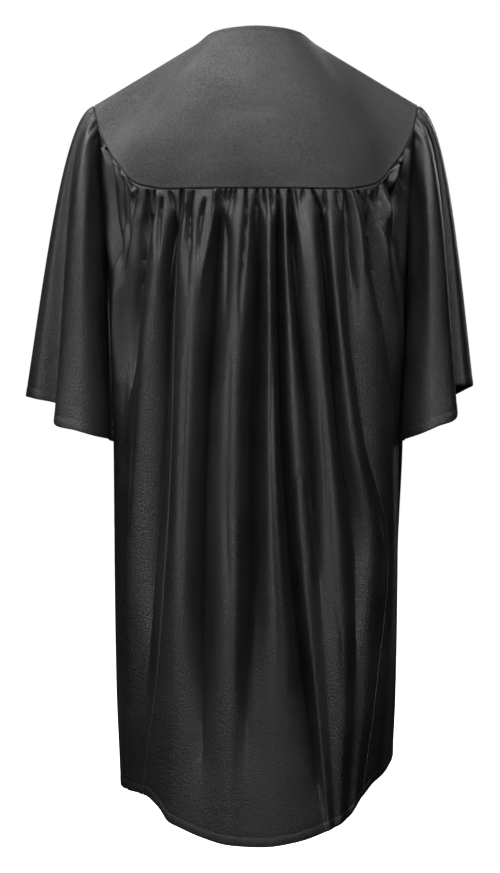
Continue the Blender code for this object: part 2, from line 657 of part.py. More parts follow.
def make_yoke(name, along, satin, shoulder_ends):
    """One piece of the yoke; shoulder_ends says which of its side edges are shoulder seams."""
    points, seam_way = yoke_surface(along)
    normals = grid_normals(points)
    normals[-1] = seam_way
    down = unit(np.gradient(points, axis=0))
    for end in shoulder_ends:
        ridge = np.cross([0.0, 1.0, 0.0], down[:, end])
        normals[:, end] = unit(ridge * np.sign(ridge[:, 2:3]))
    points[-1] -= down[-1] * SEAM_GAP / 2 / np.abs(edge_slant(points, down))
    inner = points - normals * YOKE_WALL
    inward = np.sign(points[0, :, 1].mean()) * np.array([0.0, SEAM_GAP / 2, 0.0])
    for end in shoulder_ends:
        points[:, end] += inward
        inner[:, end] += inward
    rows = [[grid[-1]] + list(grid[-2::-1, ::2]) for grid in (points, inner)]
    cloth(name, rows[0], rows[1], satin, flip=True)


def edge_slant(points, down):
    """Sine of the angle at which the yoke's lines meet its lower edge."""
    way = unit(np.gradient(points[-1], axis=0))
    return np.linalg.norm(np.cross(way, down[-1]), axis=-1, keepdims=True)


def make_yokes(lines, satin):
    """The back yoke and the two front yokes, with the same columns as the body below them."""
    places = body_columns(lines)
    alongs = np.interp(places, np.arange(len(lines)), [line["along"] for line in lines])
    tip = np.linspace(ARMHOLE_TOP, SHOULDER_TIP, YOKE_TIP_COLUMNS + 1)[1:]
    back = alongs[np.abs(alongs) <= ARMHOLE_TOP + ROUNDING]
    make_yoke("yoke_back", np.concatenate([tip[::-1], back, -tip]), satin, (0, -1))
    shift = YOKE_AT_ARMHOLE_FRONT - ARMHOLE_FRONT
    front = alongs[alongs >= ARMHOLE_FRONT - ROUNDING] + shift
    to_tip = np.linspace(YOKE_AT_ARMHOLE_FRONT, SHOULDER_TIP, YOKE_TIP_COLUMNS + 1)[1:]
    make_yoke("yoke_front_left", np.concatenate([front, to_tip]), satin, (-1,))
    front = alongs[alongs <= -ARMHOLE_FRONT + ROUNDING] - shift
    make_yoke("yoke_front_right", np.concatenate([-to_tip[::-1], front]), satin, (0,))


def armhole_ring(cap):
    """Points of the left armhole at distances from the shoulder tip, over the back and round."""
    over_yoke = SHOULDER_TIP - ARMHOLE_TOP
    whole = 2 * over_yoke + ARMHOLE_FRONT - ARMHOLE_TOP
    on_back_yoke = cap < over_yoke
    on_front_yoke = cap > whole - over_yoke
    yoke_turn, yoke_drop = yoke_edge(np.where(on_back_yoke, SHOULDER_TIP - cap, SHOULDER_TIP + whole - cap))
    arm_turn, arm_drop = body_edge(np.clip(cap - over_yoke + ARMHOLE_TOP, ARMHOLE_TOP, ARMHOLE_FRONT))
    beside_yoke = on_back_yoke | on_front_yoke
    return body_form(np.where(beside_yoke, yoke_turn, arm_turn), np.where(beside_yoke, yoke_drop, arm_drop))


def make_sleeve(name, rows, side, satin):
    """A bell sleeve from the armhole to its hem, with the folds that its hem outline names."""
    names = SLEEVE_COLUMN_NAMES.split()[1:]
    shape = {key: np.array([row[index + 1] for row in rows], float) for index, key in enumerate(names)}
    stations = np.arange(len(rows), dtype=float)
    share_of_ring = np.arange(SLEEVE_COLUMNS) / SLEEVE_COLUMNS * stations[-1]
    cap, x, y, drop, swing, sway = (
        round_smooth(stations, shape[key], share_of_ring, key == "cap") for key in names
    )
    hem = np.stack([x, y, -drop], axis=-1)
    top = armhole_ring(cap / 1000) + np.array([SEAM_GAP, 0.0, 0.0])
    under = np.sin(math.pi * share_of_ring / stations[-1])[:, None] ** 2
    length = np.linalg.norm(hem - top, axis=-1, keepdims=True)
    fall = CAP_FALL + (UNDER_FALL - CAP_FALL) * under[:, 0]
    near_top = top + length * np.stack([swing, sway, -fall], axis=-1)
    near_hem = hem + HEM_CURVE * (top - hem) + (1 - under) * np.array(HEM_PUFF)
    share = np.linspace(0, 1, SLEEVE_ROWS)[:, None, None] ** SLEEVE_ROW_GROWTH
    points = (
        (1 - share) ** 3 * top
        + 3 * share * (1 - share) ** 2 * near_top
        + 3 * share**2 * (1 - share) * near_hem
        + share**3 * hem
    )
    wave = np.cos(2 * math.pi * CAP_GATHERS * share_of_ring / stations[-1])
    window = (1 - under[:, 0]) ** 2
    full, lasts, gone = CAP_GATHER_SPAN
    fade = ease(share[:, 0, 0], 0.0, full) * (1 - ease(share[:, 0, 0], lasts, gone))
    normals = grid_normals(points, closed=True)
    points += normals * (CAP_GATHER_HEIGHT * fade[:, None] * wave * window)[..., None]
    normals = grid_normals(points, closed=True)
    centre = top.mean(axis=0)
    normals[0] = unit((top - centre) * np.array([0.0, 1.0, 1.0]))
    inner = points - normals * WALL
    mirror = np.array([side, 1.0, 1.0])
    cloth(name, list(points * mirror), list(inner * mirror), satin, closed=True, flip=side < 0)


def round_smooth(stations, values, where, grows):
    """Values round a closed ring whose last row repeats the first; grows is for a value that only rises."""
    if grows:
        return smooth(stations, values, where)
    padded = np.concatenate([values[-3:-1], values, values[1:3]])
    return catmull(padded, where + 2)


def catmull(values, where):
    """Values on the round curve through evenly spaced points."""
    cell = where.astype(int)
    part = where - cell
    before, here, there, after = (values[cell + step] for step in (-1, 0, 1, 2))
    return 0.5 * (
        2 * here
        + (there - before) * part
        + (2 * before - 5 * here + 4 * there - after) * part**2
        + (3 * here - before - 3 * there + after) * part**3
    )


def front_line(drops):
    """Middle of the front opening at these drops, on the outside of the cloth."""
    lower = -smooth(BODY_FORM["drop"], BODY_FORM["front_depth"], drops)
    yoke_points, _ = yoke_surface(np.array([YOKE_FRONT_EDGE - 0.001, YOKE_FRONT_EDGE]))
    edge = yoke_points[:, -1]
    upper = np.interp(drops, -edge[:, 2], edge[:, 1])
    seam_drop = -edge[-1, 2]
    y = np.where(drops < seam_drop, upper, lower)
    return np.stack([0 * drops, y, -drops], axis=-1)


def make_zip(polyester):
    """The zip's tape behind the two front edges, with its closed chain standing between them."""
    drops = np.linspace(ZIP_TOP, ZIP_BOTTOM, ZIP_STATIONS)
    line = front_line(drops)
    down = unit(np.gradient(line, axis=0))
    outward = np.cross(down, [1.0, 0.0, 0.0])
    face = line - outward * (YOKE_WALL + SEAM_GAP)
    profile = (
        (TAPE_HALF_WIDTH, -TAPE_THICKNESS),
        (TAPE_HALF_WIDTH, 0.0),
        (CHAIN_HALF_WIDTH, 0.0),
        (CHAIN_HALF_WIDTH, CHAIN_HEIGHT),
        (-CHAIN_HALF_WIDTH, CHAIN_HEIGHT),
        (-CHAIN_HALF_WIDTH, 0.0),
        (-TAPE_HALF_WIDTH, 0.0),
        (-TAPE_HALF_WIDTH, -TAPE_THICKNESS),
    )
    rings = []
    for at, out in zip(face, outward):
        rings.append([at + np.array([x, 0, 0]) + out * rise for x, rise in profile])
    count = len(profile)
    points = [point for ring in rings for point in ring]
    faces = []
    for ring in range(ZIP_STATIONS - 1):
        for corner in range(count):
            here = ring * count + corner
            beside = ring * count + (corner + 1) % count
            faces.append((here, beside, beside + count, here + count))
    for first, order in ((0, 1), ((ZIP_STATIONS - 1) * count, -1)):
        faces.append(tuple(first + corner for corner in (0, 1, 2, 5, 6, 7))[::-order])
        faces.append(tuple(first + corner for corner in (2, 3, 4, 5))[::-order])
    mesh = bpy.data.meshes.new("zip_tape")
    mesh.from_pydata([tuple(point) for point in points], [], faces)
    place("zip_tape", mesh, polyester)


def block(size, at):
    """A mesh box of three sizes about a middle."""
    mesh = bmesh.new()
    matrix = Matrix.Translation(at) @ Matrix.Diagonal((*size, 1.0))
    bmesh.ops.create_cube(mesh, size=1, matrix=matrix)
    return mesh


def rod(radius, length, at):
    """A mesh cylinder along X about a middle."""
    mesh = bmesh.new()
    matrix = Matrix.Translation(at) @ Matrix.Rotation(math.radians(90), 4, "Y")
    bmesh.ops.create_cone(
        mesh, cap_ends=True, segments=ROD_SIDES, radius1=radius, radius2=radius, depth=length, matrix=matrix
    )
    return mesh


def joined(name, pieces, cutters, material):
    """One object from the union of the pieces less the cutters."""
    things = []
    for index, piece in enumerate(pieces + cutters):
        mesh = bpy.data.meshes.new(f"{name}_{index}")
        piece.to_mesh(mesh)
        piece.free()
        things.append(place(mesh.name if index else name, mesh, material))
    base = things[0]
    for index, other in enumerate(things[1:], start=1):
        step = base.modifiers.new(other.name, "BOOLEAN")
        step.operation = "UNION" if index < len(pieces) else "DIFFERENCE"
        step.object = other
    bpy.context.view_layer.update()
    result = bpy.data.meshes.new_from_object(base.evaluated_get(bpy.context.evaluated_depsgraph_get()))
    base.modifiers.clear()
    base.data = result
    for other in things[1:]:
        bpy.data.objects.remove(other)
    return base


def make_slider(metal):
    """The zip's slider, with two ears and a pin, and the pull tab that hangs on the pin."""
    at, below = front_line(np.array([SLIDER_DROP, SLIDER_DROP + 0.001]))
    slope = -math.atan2(at[1] - below[1], at[2] - below[2])
    width, thickness, height = SLIDER_SIZE
    lift = CHAIN_HEIGHT - YOKE_WALL + SEAM_GAP / 2
    pin_y = -(lift + thickness + PIN_STANDOFF)
    body = block(SLIDER_SIZE, (0, -lift - thickness / 2, 0))
    ear_y = -(lift + thickness - EAR_SINK + EAR_SIZE[1] / 2)
    ears = [block(EAR_SIZE, (side * EAR_SPREAD, ear_y, 0)) for side in (-1, 1)]
    pin = rod(PIN_RADIUS, 2 * EAR_SPREAD, (0, pin_y, 0))
    slider = joined("zip_slider", [body] + ears + [pin], [], metal)
    slider.location = at
    slider.rotation_euler = (slope, 0, 0)
    eye = rod(PULL_EYE_RADIUS, PULL_EYE_WIDTH, (0, 0, 0))
    neck = block((PULL_EYE_WIDTH, PULL_THICKNESS, PULL_NECK), (0, 0, -PULL_NECK / 2 - PULL_EYE_HOLE))
    plate_height = PULL_LENGTH - PULL_NECK
    plate = block((PULL_WIDTH, PULL_THICKNESS, plate_height), (0, 0, -PULL_NECK - plate_height / 2))
    pull = joined("zip_pull_tab", [eye, neck, plate], [rod(PULL_EYE_HOLE, PULL_WIDTH, (0, 0, 0))], metal)
    pull.location = Vector(at) + Matrix.Rotation(slope, 3, "X") @ Vector((0, pin_y, 0))
    pull.rotation_euler = (slope, 0, 0)


def clear_scene():
    """Removes whatever the scene holds and makes the robe's collection."""
    for thing in list(bpy.data.objects):
        bpy.data.objects.remove(thing, do_unlink=True)
    collection = bpy.data.collections.new("choir_robe")
    bpy.context.scene.collection.children.link(collection)


def principled(name, colour, roughness, metallic=0.0):
    """A Principled material."""
    material = bpy.data.materials.new(name)
    material.use_nodes = True
    shader = material.node_tree.nodes["Principled BSDF"]
    shader.inputs["Base Color"].default_value = (*colour, 1.0)
    shader.inputs["Roughness"].default_value = roughness
    shader.inputs["Metallic"].default_value = metallic
    material.diffuse_color = (*colour, 1.0)
    return material


def main():
    clear_scene()
    satin = principled("black_satin", (0.012, 0.012, 0.013), 0.38)
    tape = principled("black_tape", (0.010, 0.010, 0.010), 0.7)
    metal = principled("black_metal", (0.02, 0.02, 0.02), 0.4, 1.0)
    lines = fold_lines()
    make_body(lines, satin)
    make_yokes(lines, satin)
    for name, rows, side in SLEEVES:
        make_sleeve(name, rows, side, satin)
    make_zip(tape)
    make_slider(metal)


main()
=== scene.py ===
"""Looks of the child's choir robe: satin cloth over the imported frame, sewing, zip, light and camera.

The front faces -Y, the wearer's left is +X. Drop, turn and along mean what they mean in the part's own
source: a distance below the neck, an angle round the body from the back centre, and a distance on the
body's upper edge from the back centre, the last two negative on the wearer's right.
"""

import math

import bmesh
import bpy
import numpy as np
from mathutils import Matrix, Vector


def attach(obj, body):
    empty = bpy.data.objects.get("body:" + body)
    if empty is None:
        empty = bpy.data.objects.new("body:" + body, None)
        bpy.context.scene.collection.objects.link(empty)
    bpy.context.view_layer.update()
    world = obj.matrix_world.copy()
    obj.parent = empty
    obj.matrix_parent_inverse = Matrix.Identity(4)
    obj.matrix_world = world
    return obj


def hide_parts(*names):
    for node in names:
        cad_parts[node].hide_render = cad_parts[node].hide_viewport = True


CLOTH = 0.00045
TURNED = 0.00115  # thickness where an edge is turned in and stitched
COLUMN_STEP = 0.0013
SIDE_STEP = 0.0024
FRONT_STEP = 0.0018
ROW_STEP = 0.0048
TUCK = 0.0016  # how far cloth dips into a seam
TUCK_DEPTH = 0.0011
BODY_HEM = 0.0103
SLEEVE_HEM = 0.0082
NECK_HEM = 0.0062

SQUARENESS = 2.4
ARMHOLE_TOP = 0.214
SHOULDER_TIP = 0.241
ARMHOLE_FRONT = 0.506
YOKE_AT_ARMHOLE_FRONT = 0.268
FRONT_EDGE = 0.676
YOKE_FRONT_EDGE = YOKE_AT_ARMHOLE_FRONT + FRONT_EDGE - ARMHOLE_FRONT
OPENING_TURN = 179.45
UNDERARM_DROP = 0.250
ROUNDING = 1e-6

FRONT_GATHER_PITCH = 0.0079
FRONT_GATHER_HEIGHT = 0.0017
FRONT_GATHER_LENGTH = 0.045
FOLD_START = 0.060
HOLLOW_SLOPE = 2.2  # how sharply a hollow is folded at its bottom; a crest is always round
STEEPEST = 2.7
SHARP_FROM = (0.002, 0.009)  # a hollow less deep than this is round, and one as deep as this is sharp
HOLLOWS_DEEPER_WITHIN = 0.190  # along the body's upper edge, on both sides of the centre back
HOLLOWS_DEEPER = 2.2  # the thin cloth sinks further between two folds than the solids' thick wall
CREASES_DEEPER = 3.1
CREASES_WIDER = 1.8
CREASE_TOP_WIDTH = 0.7  # a hollow between gathers starts as a narrow slit at the seam
LEFT_AT_HEM = 0.08  # share of a fold that is left where it has faded
SEAM_ABOVE = 200  # mm: a small fold that starts at a smaller drop starts at the yoke's seam
RIDGE_FADE = 1.5  # mm over which a ridge rises there
TROUGH_FADE = 3.0
SEAM_DIP = 0.0014
SEAM_SHARES_WITHIN = 0.008  # from a seam: both of its pieces have the same outward direction there
PUFF = 0.0006  # how far gathered cloth stands out just below the yoke

TILT_FROM = 0.130
TILT_RISE = 1.5
TILT_DOWN_ARMHOLE = 0.035
YOKE_CURVE_AT_NECK = 0.30
YOKE_CURVE_AT_SEAM = 0.33
NECK_SPREAD = 0.30
SHOULDER_FROM = 0.09

SLEEVE_COLUMNS = 240
CAP_FALL = 0.030
UNDER_FALL = 0.130
HEM_CURVE = 0.45
HEM_PUFF = (0.012, 0.0, 0.0)

# Rows of the mesh below an upper edge, and those near a hem as shares of its depth
FINE_ROWS = (
    *(0.0, 0.0006, 0.0013, 0.0022, 0.0034, 0.005, 0.007, 0.0095),
    *(0.0125, 0.016, 0.020, 0.0245, 0.029, 0.0335, 0.038),
)
HEM_SHARES = (1.6, 1.12, 1.04, 1, 0.96, 0.88, 0.5)


def table(columns, rows):
    """A dictionary of arrays, one for each named column."""
    return {name: np.array(values) for name, values in zip(columns.split(), zip(*rows))}


BODY_FORM = table("drop   half_width back_depth front_depth", [
    (0.073, 0.1800, 0.088, 0.080), (0.100, 0.1780, 0.096, 0.089),
    (0.130, 0.1755, 0.104, 0.096), (0.160, 0.1710, 0.112, 0.101),
    (0.180, 0.1680, 0.1165, 0.104), (0.220, 0.1655, 0.122, 0.109),
    (0.260, 0.1640, 0.126, 0.114), (0.320, 0.1618, 0.1273, 0.1165),
    (0.380, 0.1595, 0.1286, 0.1194), (0.450, 0.1578, 0.130, 0.122),
    (0.600, 0.1565, 0.130, 0.124), (0.720, 0.1545, 0.129, 0.124),
    (0.800, 0.1510, 0.128, 0.124), (0.880, 0.1480, 0.127, 0.124),
])

BODY_SIZES = ("half_width", "back_depth", "front_depth")

YOKE_BACK_EDGE = table("along  x       drop", [
    (0.000, 0.0000, 0.1780), (0.060, 0.0600, 0.1780),
    (0.095, 0.0950, 0.1775), (0.118, 0.1175, 0.1735),
    (0.131, 0.1297, 0.1690), (0.143, 0.1387, 0.1615),
    (0.157, 0.1467, 0.1500), (0.172, 0.1560, 0.1380),
    (0.191, 0.1650, 0.1215), (0.214, 0.1735, 0.1000),
    (0.241, 0.1800, 0.0733),
])

YOKE_FRONT_EDGE_LINE = table("along  turn   drop", [
    (0.241, 90.0, 0.0733), (0.268, 104.1, 0.1000),
    (0.292, 113.0, 0.1180), (0.315, 123.0, 0.1300),
    (0.340, 133.0, 0.1355), (0.370, 145.0, 0.1370),
    (0.438, OPENING_TURN, 0.1370),
])

ARMHOLE_EDGE = table("along  turn   drop", [
    (0.214, 75.9, 0.100), (0.254, 76.5, 0.140), (0.295, 78.3, 0.180),
    (0.333, 82.0, 0.220), (0.360, 90.0, 0.250), (0.387, 98.0, 0.220),
    (0.425, 101.7, 0.180), (0.466, 103.5, 0.140), (0.506, 104.1, 0.100),
])

NECK_EDGE = table("angle  x       y       drop", [
    (-30, -0.0290, 0.0475, -0.0050), (0, 0.0000, 0.0550, -0.0060),
    (30, 0.0290, 0.0475, -0.0050), (60, 0.0495, 0.0265, -0.0032),
    (90, 0.0565, 0.0000, -0.0010), (110, 0.0540, -0.0200, 0.0060),
    (130, 0.0440, -0.0380, 0.0200), (150, 0.0290, -0.0540, 0.0380),
    (168, 0.0130, -0.0660, 0.0550), (180, 0.0033, -0.0710, 0.0640),
])

HEM = table("turn  drop", [
    (-180, 0.8450), (-130, 0.8220), (-90, 0.7940),
    (-76, 0.7960), (-69, 0.8030), (-54, 0.8120),
    (-46, 0.8260), (-42, 0.8345), (-38, 0.8450),
    (-28, 0.8570), (-12, 0.8690), (0, 0.8735),
    (9, 0.8710), (20, 0.8635), (29, 0.8550),
    (35, 0.8495), (41, 0.8350), (50, 0.8245),
    (66, 0.8235), (90, 0.8250), (130, 0.8320),
    (180, 0.8450),
])

HEM_ABOUT = 0.840
FOLD_DROPS = (0.240, 0.320, 0.440, 0.570, 0.700)
FOLD_COLUMNS = "name along at_240 at_320 at_440 at_570 at_700 at_hem depth full gone"
LEFT_FOLDS = [
    ("front_edge_left", 676, *[OPENING_TURN] * 6, 0, 300, 400),
    ("front_crest_1_left", 662, 170, 170, 170, 170, 170, 170, 3, 560, 800),
    ("front_hollow_1_left", 647, 162, 161, 160, 160, 160, 160, -8, 560, 760),
    ("front_crest_2_left", 631, 152, 151, 150, 149, 149, 149, 5, 480, 700),
    ("front_hollow_2_left", 613, 144, 142, 140, 139, 139, 139, -9, 500, 700),
    ("front_crest_3_left", 595, 136, 133, 131, 130, 129, 128, 5, 420, 700),
    ("front_hollow_3_left", 576, 127, 124, 122, 121, 120, 119, -7, 420, 620),
    ("front_crest_4_left", 554, 118, 114, 112, 111, 110, 110, 4, 340, 560),
    ("front_hollow_4_left", 530, 110, 106, 104, 103, 103, 103, -4, 290, 420),
    ("armhole_front_left", 506, 104, 99, 97, 97, 97, 97, 0, 250, 350),
    ("arm_front_left", 425, 99, 95, 94, 94, 94, 94, 0, 250, 350),
    ("side_seam_left", 360, 90, 90, 90, 90, 90, 90, 0, 250, 350),
    ("arm_back_left", 290, 80, 84, 86, 86, 86, 86, 0, 250, 350),
    ("armhole_back_left", 214, 75, 80, 83, 83, 83, 83, 0, 250, 350),
    ("sleeve_crest_left", 190, 70, 76, 79, 79, 79, 80, 2, 250, 320),
    ("sleeve_hollow_left", 160, 64, 72, 75, 75, 75, 77, -4, 240, 290),
    ("corner_crest_left", 130, 58, 67, 71, 71, 71, 73, 4, 310, 450),
    ("corner_hollow_left", 117, 45, 56, 62, 64, 65, 68, -7, 320, 420),
]
BACK_FOLDS = [
    ("crest_b", 101, 105, 116, 130, 135, 136, 138, 5, 520, 840),
    ("hollow_1", 88, 92, 98, 106, 115, 118, 129, -10, 440, 760),
    ("panel_seam_left", 79, 84, 88, 91, 97, 106, 122, -3, 480, 650),
    ("crest_c", 57, 64, 71, 77, 81, 88, 94, 5, 560, 800),
    ("hollow_2", 34, 43, 48, 56, 60, 60, 57, -11, 560, 850),
    ("crest_d", 17, 20, 22, 27, 27, 30, 30, 5, 560, 800),
    ("hollow_3", -2, -3, -2, 4, 4, 10, 12, -11, 540, 830),
    ("crest_e", -14, -13, -14, -16, -18, -22, -23, 5, 600, 800),
    ("hollow_4", -24, -24, -25, -29, -39, -55, -72, -11, 680, 860),
    ("crest_f", -31, -31, -35, -42, -51, -63, -78, 1, 500, 740),
    ("hollow_5", -37, -38, -45, -58, -67, -74, -84, -7, 430, 690),
    ("crest_g", -51, -58, -64, -73, -86, -91, -90, 5, 720, 840),
    ("hollow_6", -69, -73, -80, -92, -112, -108, -98, -8, 480, 760),
    ("crest_h", -77, -80, -88, -104, -128, -119, -105, 3, 520, 650),
    ("panel_seam_right", -92, -98, -103, -122, -144, -131, -113, -6, 420, 560),
    ("crest_i", -105, -111, -127, -144, -150, -141, -127, 4, 400, 520),
]
RIGHT_FOLDS = [
    ("corner_hollow_right", -123, -48, -60, -74, -79, -75, -68, -6, 320, 420),
    ("corner_crest_right", -138, -60, -75, -81, -83, -80, -76, 3, 300, 400),
    ("sleeve_hollow_right", -165, -68, -79, -84, -85, -84, -82, -4, 240, 290),
    ("armhole_back_right", -214, -76, -83, -86, -87, -86, -85, 0, 250, 350),
    ("arm_back_right", -290, -81, -86, -88, -88, -88, -88, 4, 440, 580),
    ("side_seam_right", -360, -90, -90, -90, -90, -90, -90, 5, 440, 580),
    ("arm_front_right", -425, -99, -95, -94, -94, -94, -94, 4, 440, 580),
    ("armhole_front_right", -506, -104, -99, -97, -97, -97, -97, 0, 250, 350),
    ("front_hollow_4_right", -527, -109, -106, -105, -104, -104, -104, -4, 290, 400),
    ("front_crest_4_right", -549, -117, -115, -113, -112, -111, -111, 4, 360, 600),
    ("front_hollow_3_right", -572, -126, -125, -123, -122, -122, -121, -8, 460, 640),
    ("front_crest_3_right", -592, -135, -134, -132, -132, -131, -130, 5, 420, 680),
    ("front_hollow_2_right", -610, -143, -143, -142, -141, -141, -140, -8, 440, 620),
    ("front_crest_2_right", -628, -151, -151, -151, -150, -150, -149, 5, 520, 740),
    ("front_hollow_1_right", -646, -161, -160, -159, -159, -160, -160, -9, 600, 790),
    ("front_crest_1_right", -661, -170, -169, -169, -169, -170, -170, 3, 560, 800),
    ("front_edge_right", -676, *[-OPENING_TURN] * 6, 0, 300, 400),
]

PANELS = (
    ("front_left", "front_edge_left", "side_seam_left"),
    ("back_side_left", "side_seam_left", "panel_seam_left"),
    ("back_centre", "panel_seam_left", "panel_seam_right"),
    ("back_side_right", "panel_seam_right", "side_seam_right"),
    ("front_right", "side_seam_right", "front_edge_right"),
)

ARMHOLE_ROUND = 346  # mm round the armhole, along its edge
SLEEVE_COLUMN_NAMES = "name cap x y drop swing sway"
SLEEVE_LEFT = [
    ("outermost", 0, 0.2565, -0.005, 0.396, 0.100, 0.00),
    ("outer_crest", 5, 0.2440, 0.022, 0.399, 0.100, 0.02),
    ("valley", 12, 0.2150, 0.020, 0.407, 0.095, 0.02),
    ("back_crest", 22, 0.2190, 0.062, 0.427, 0.080, 0.20),
    ("back_middle", 48, 0.1950, 0.074, 0.434, 0.050, 0.24),
    ("inner_turn", 78, 0.1745, 0.0655, 0.440, 0.030, 0.16),
    ("inner_back", 110, 0.1600, 0.042, 0.4435, 0.018, 0.080),
    ("against_body", 173, 0.1620, 0.000, 0.4450, 0.008, 0.00),
    ("inner_front", 236, 0.1585, -0.054, 0.4455, 0.030, -0.06),
    ("front_turn", 268, 0.1740, -0.080, 0.431, 0.020, -0.14),
    ("front_middle", 298, 0.1930, -0.086, 0.425, 0.050, -0.20),
    ("front_crest", 324, 0.2160, -0.078, 0.414, 0.080, -0.15),
    ("front_valley", 334, 0.2200, -0.040, 0.404, 0.095, -0.02),
    ("outer_front_crest", 341, 0.2490, -0.036, 0.398, 0.100, -0.02),
    ("outermost", ARMHOLE_ROUND, 0.2565, -0.005, 0.396, 0.100, 0.00),
]
SLEEVE_RIGHT = [
    ("outermost", 0, 0.2420, -0.006, 0.384, 0.100, 0.00),
    ("outer_crest", 5, 0.2320, 0.018, 0.384, 0.100, 0.02),
    ("valley", 12, 0.2130, 0.020, 0.389, 0.095, 0.02),
    ("back_crest", 22, 0.2180, 0.062, 0.419, 0.080, 0.20),
    ("back_middle", 48, 0.1950, 0.0745, 0.430, 0.050, 0.24),
    ("inner_turn", 78, 0.1765, 0.067, 0.438, 0.060, 0.14),
    ("inner_back", 110, 0.1605, 0.042, 0.4440, 0.036, 0.080),
    ("against_body", 173, 0.1640, 0.000, 0.4450, 0.035, 0.00),
    ("inner_front", 236, 0.1585, -0.054, 0.4455, 0.034, -0.06),
    ("front_turn", 268, 0.1740, -0.078, 0.431, 0.020, -0.14),
    ("front_middle", 298, 0.1930, -0.084, 0.424, 0.050, -0.20),
    ("front_crest", 324, 0.2130, -0.076, 0.412, 0.080, -0.15),
    ("front_valley", 334, 0.2150, -0.042, 0.400, 0.095, -0.02),
    ("outer_front_crest", 341, 0.2360, -0.038, 0.388, 0.100, -0.02),
    ("outermost", ARMHOLE_ROUND, 0.2420, -0.006, 0.384, 0.100, 0.00),
]
SLEEVES = (
    ("sleeve_left", SLEEVE_LEFT, 1),
    ("sleeve_right", SLEEVE_RIGHT, -1),
)

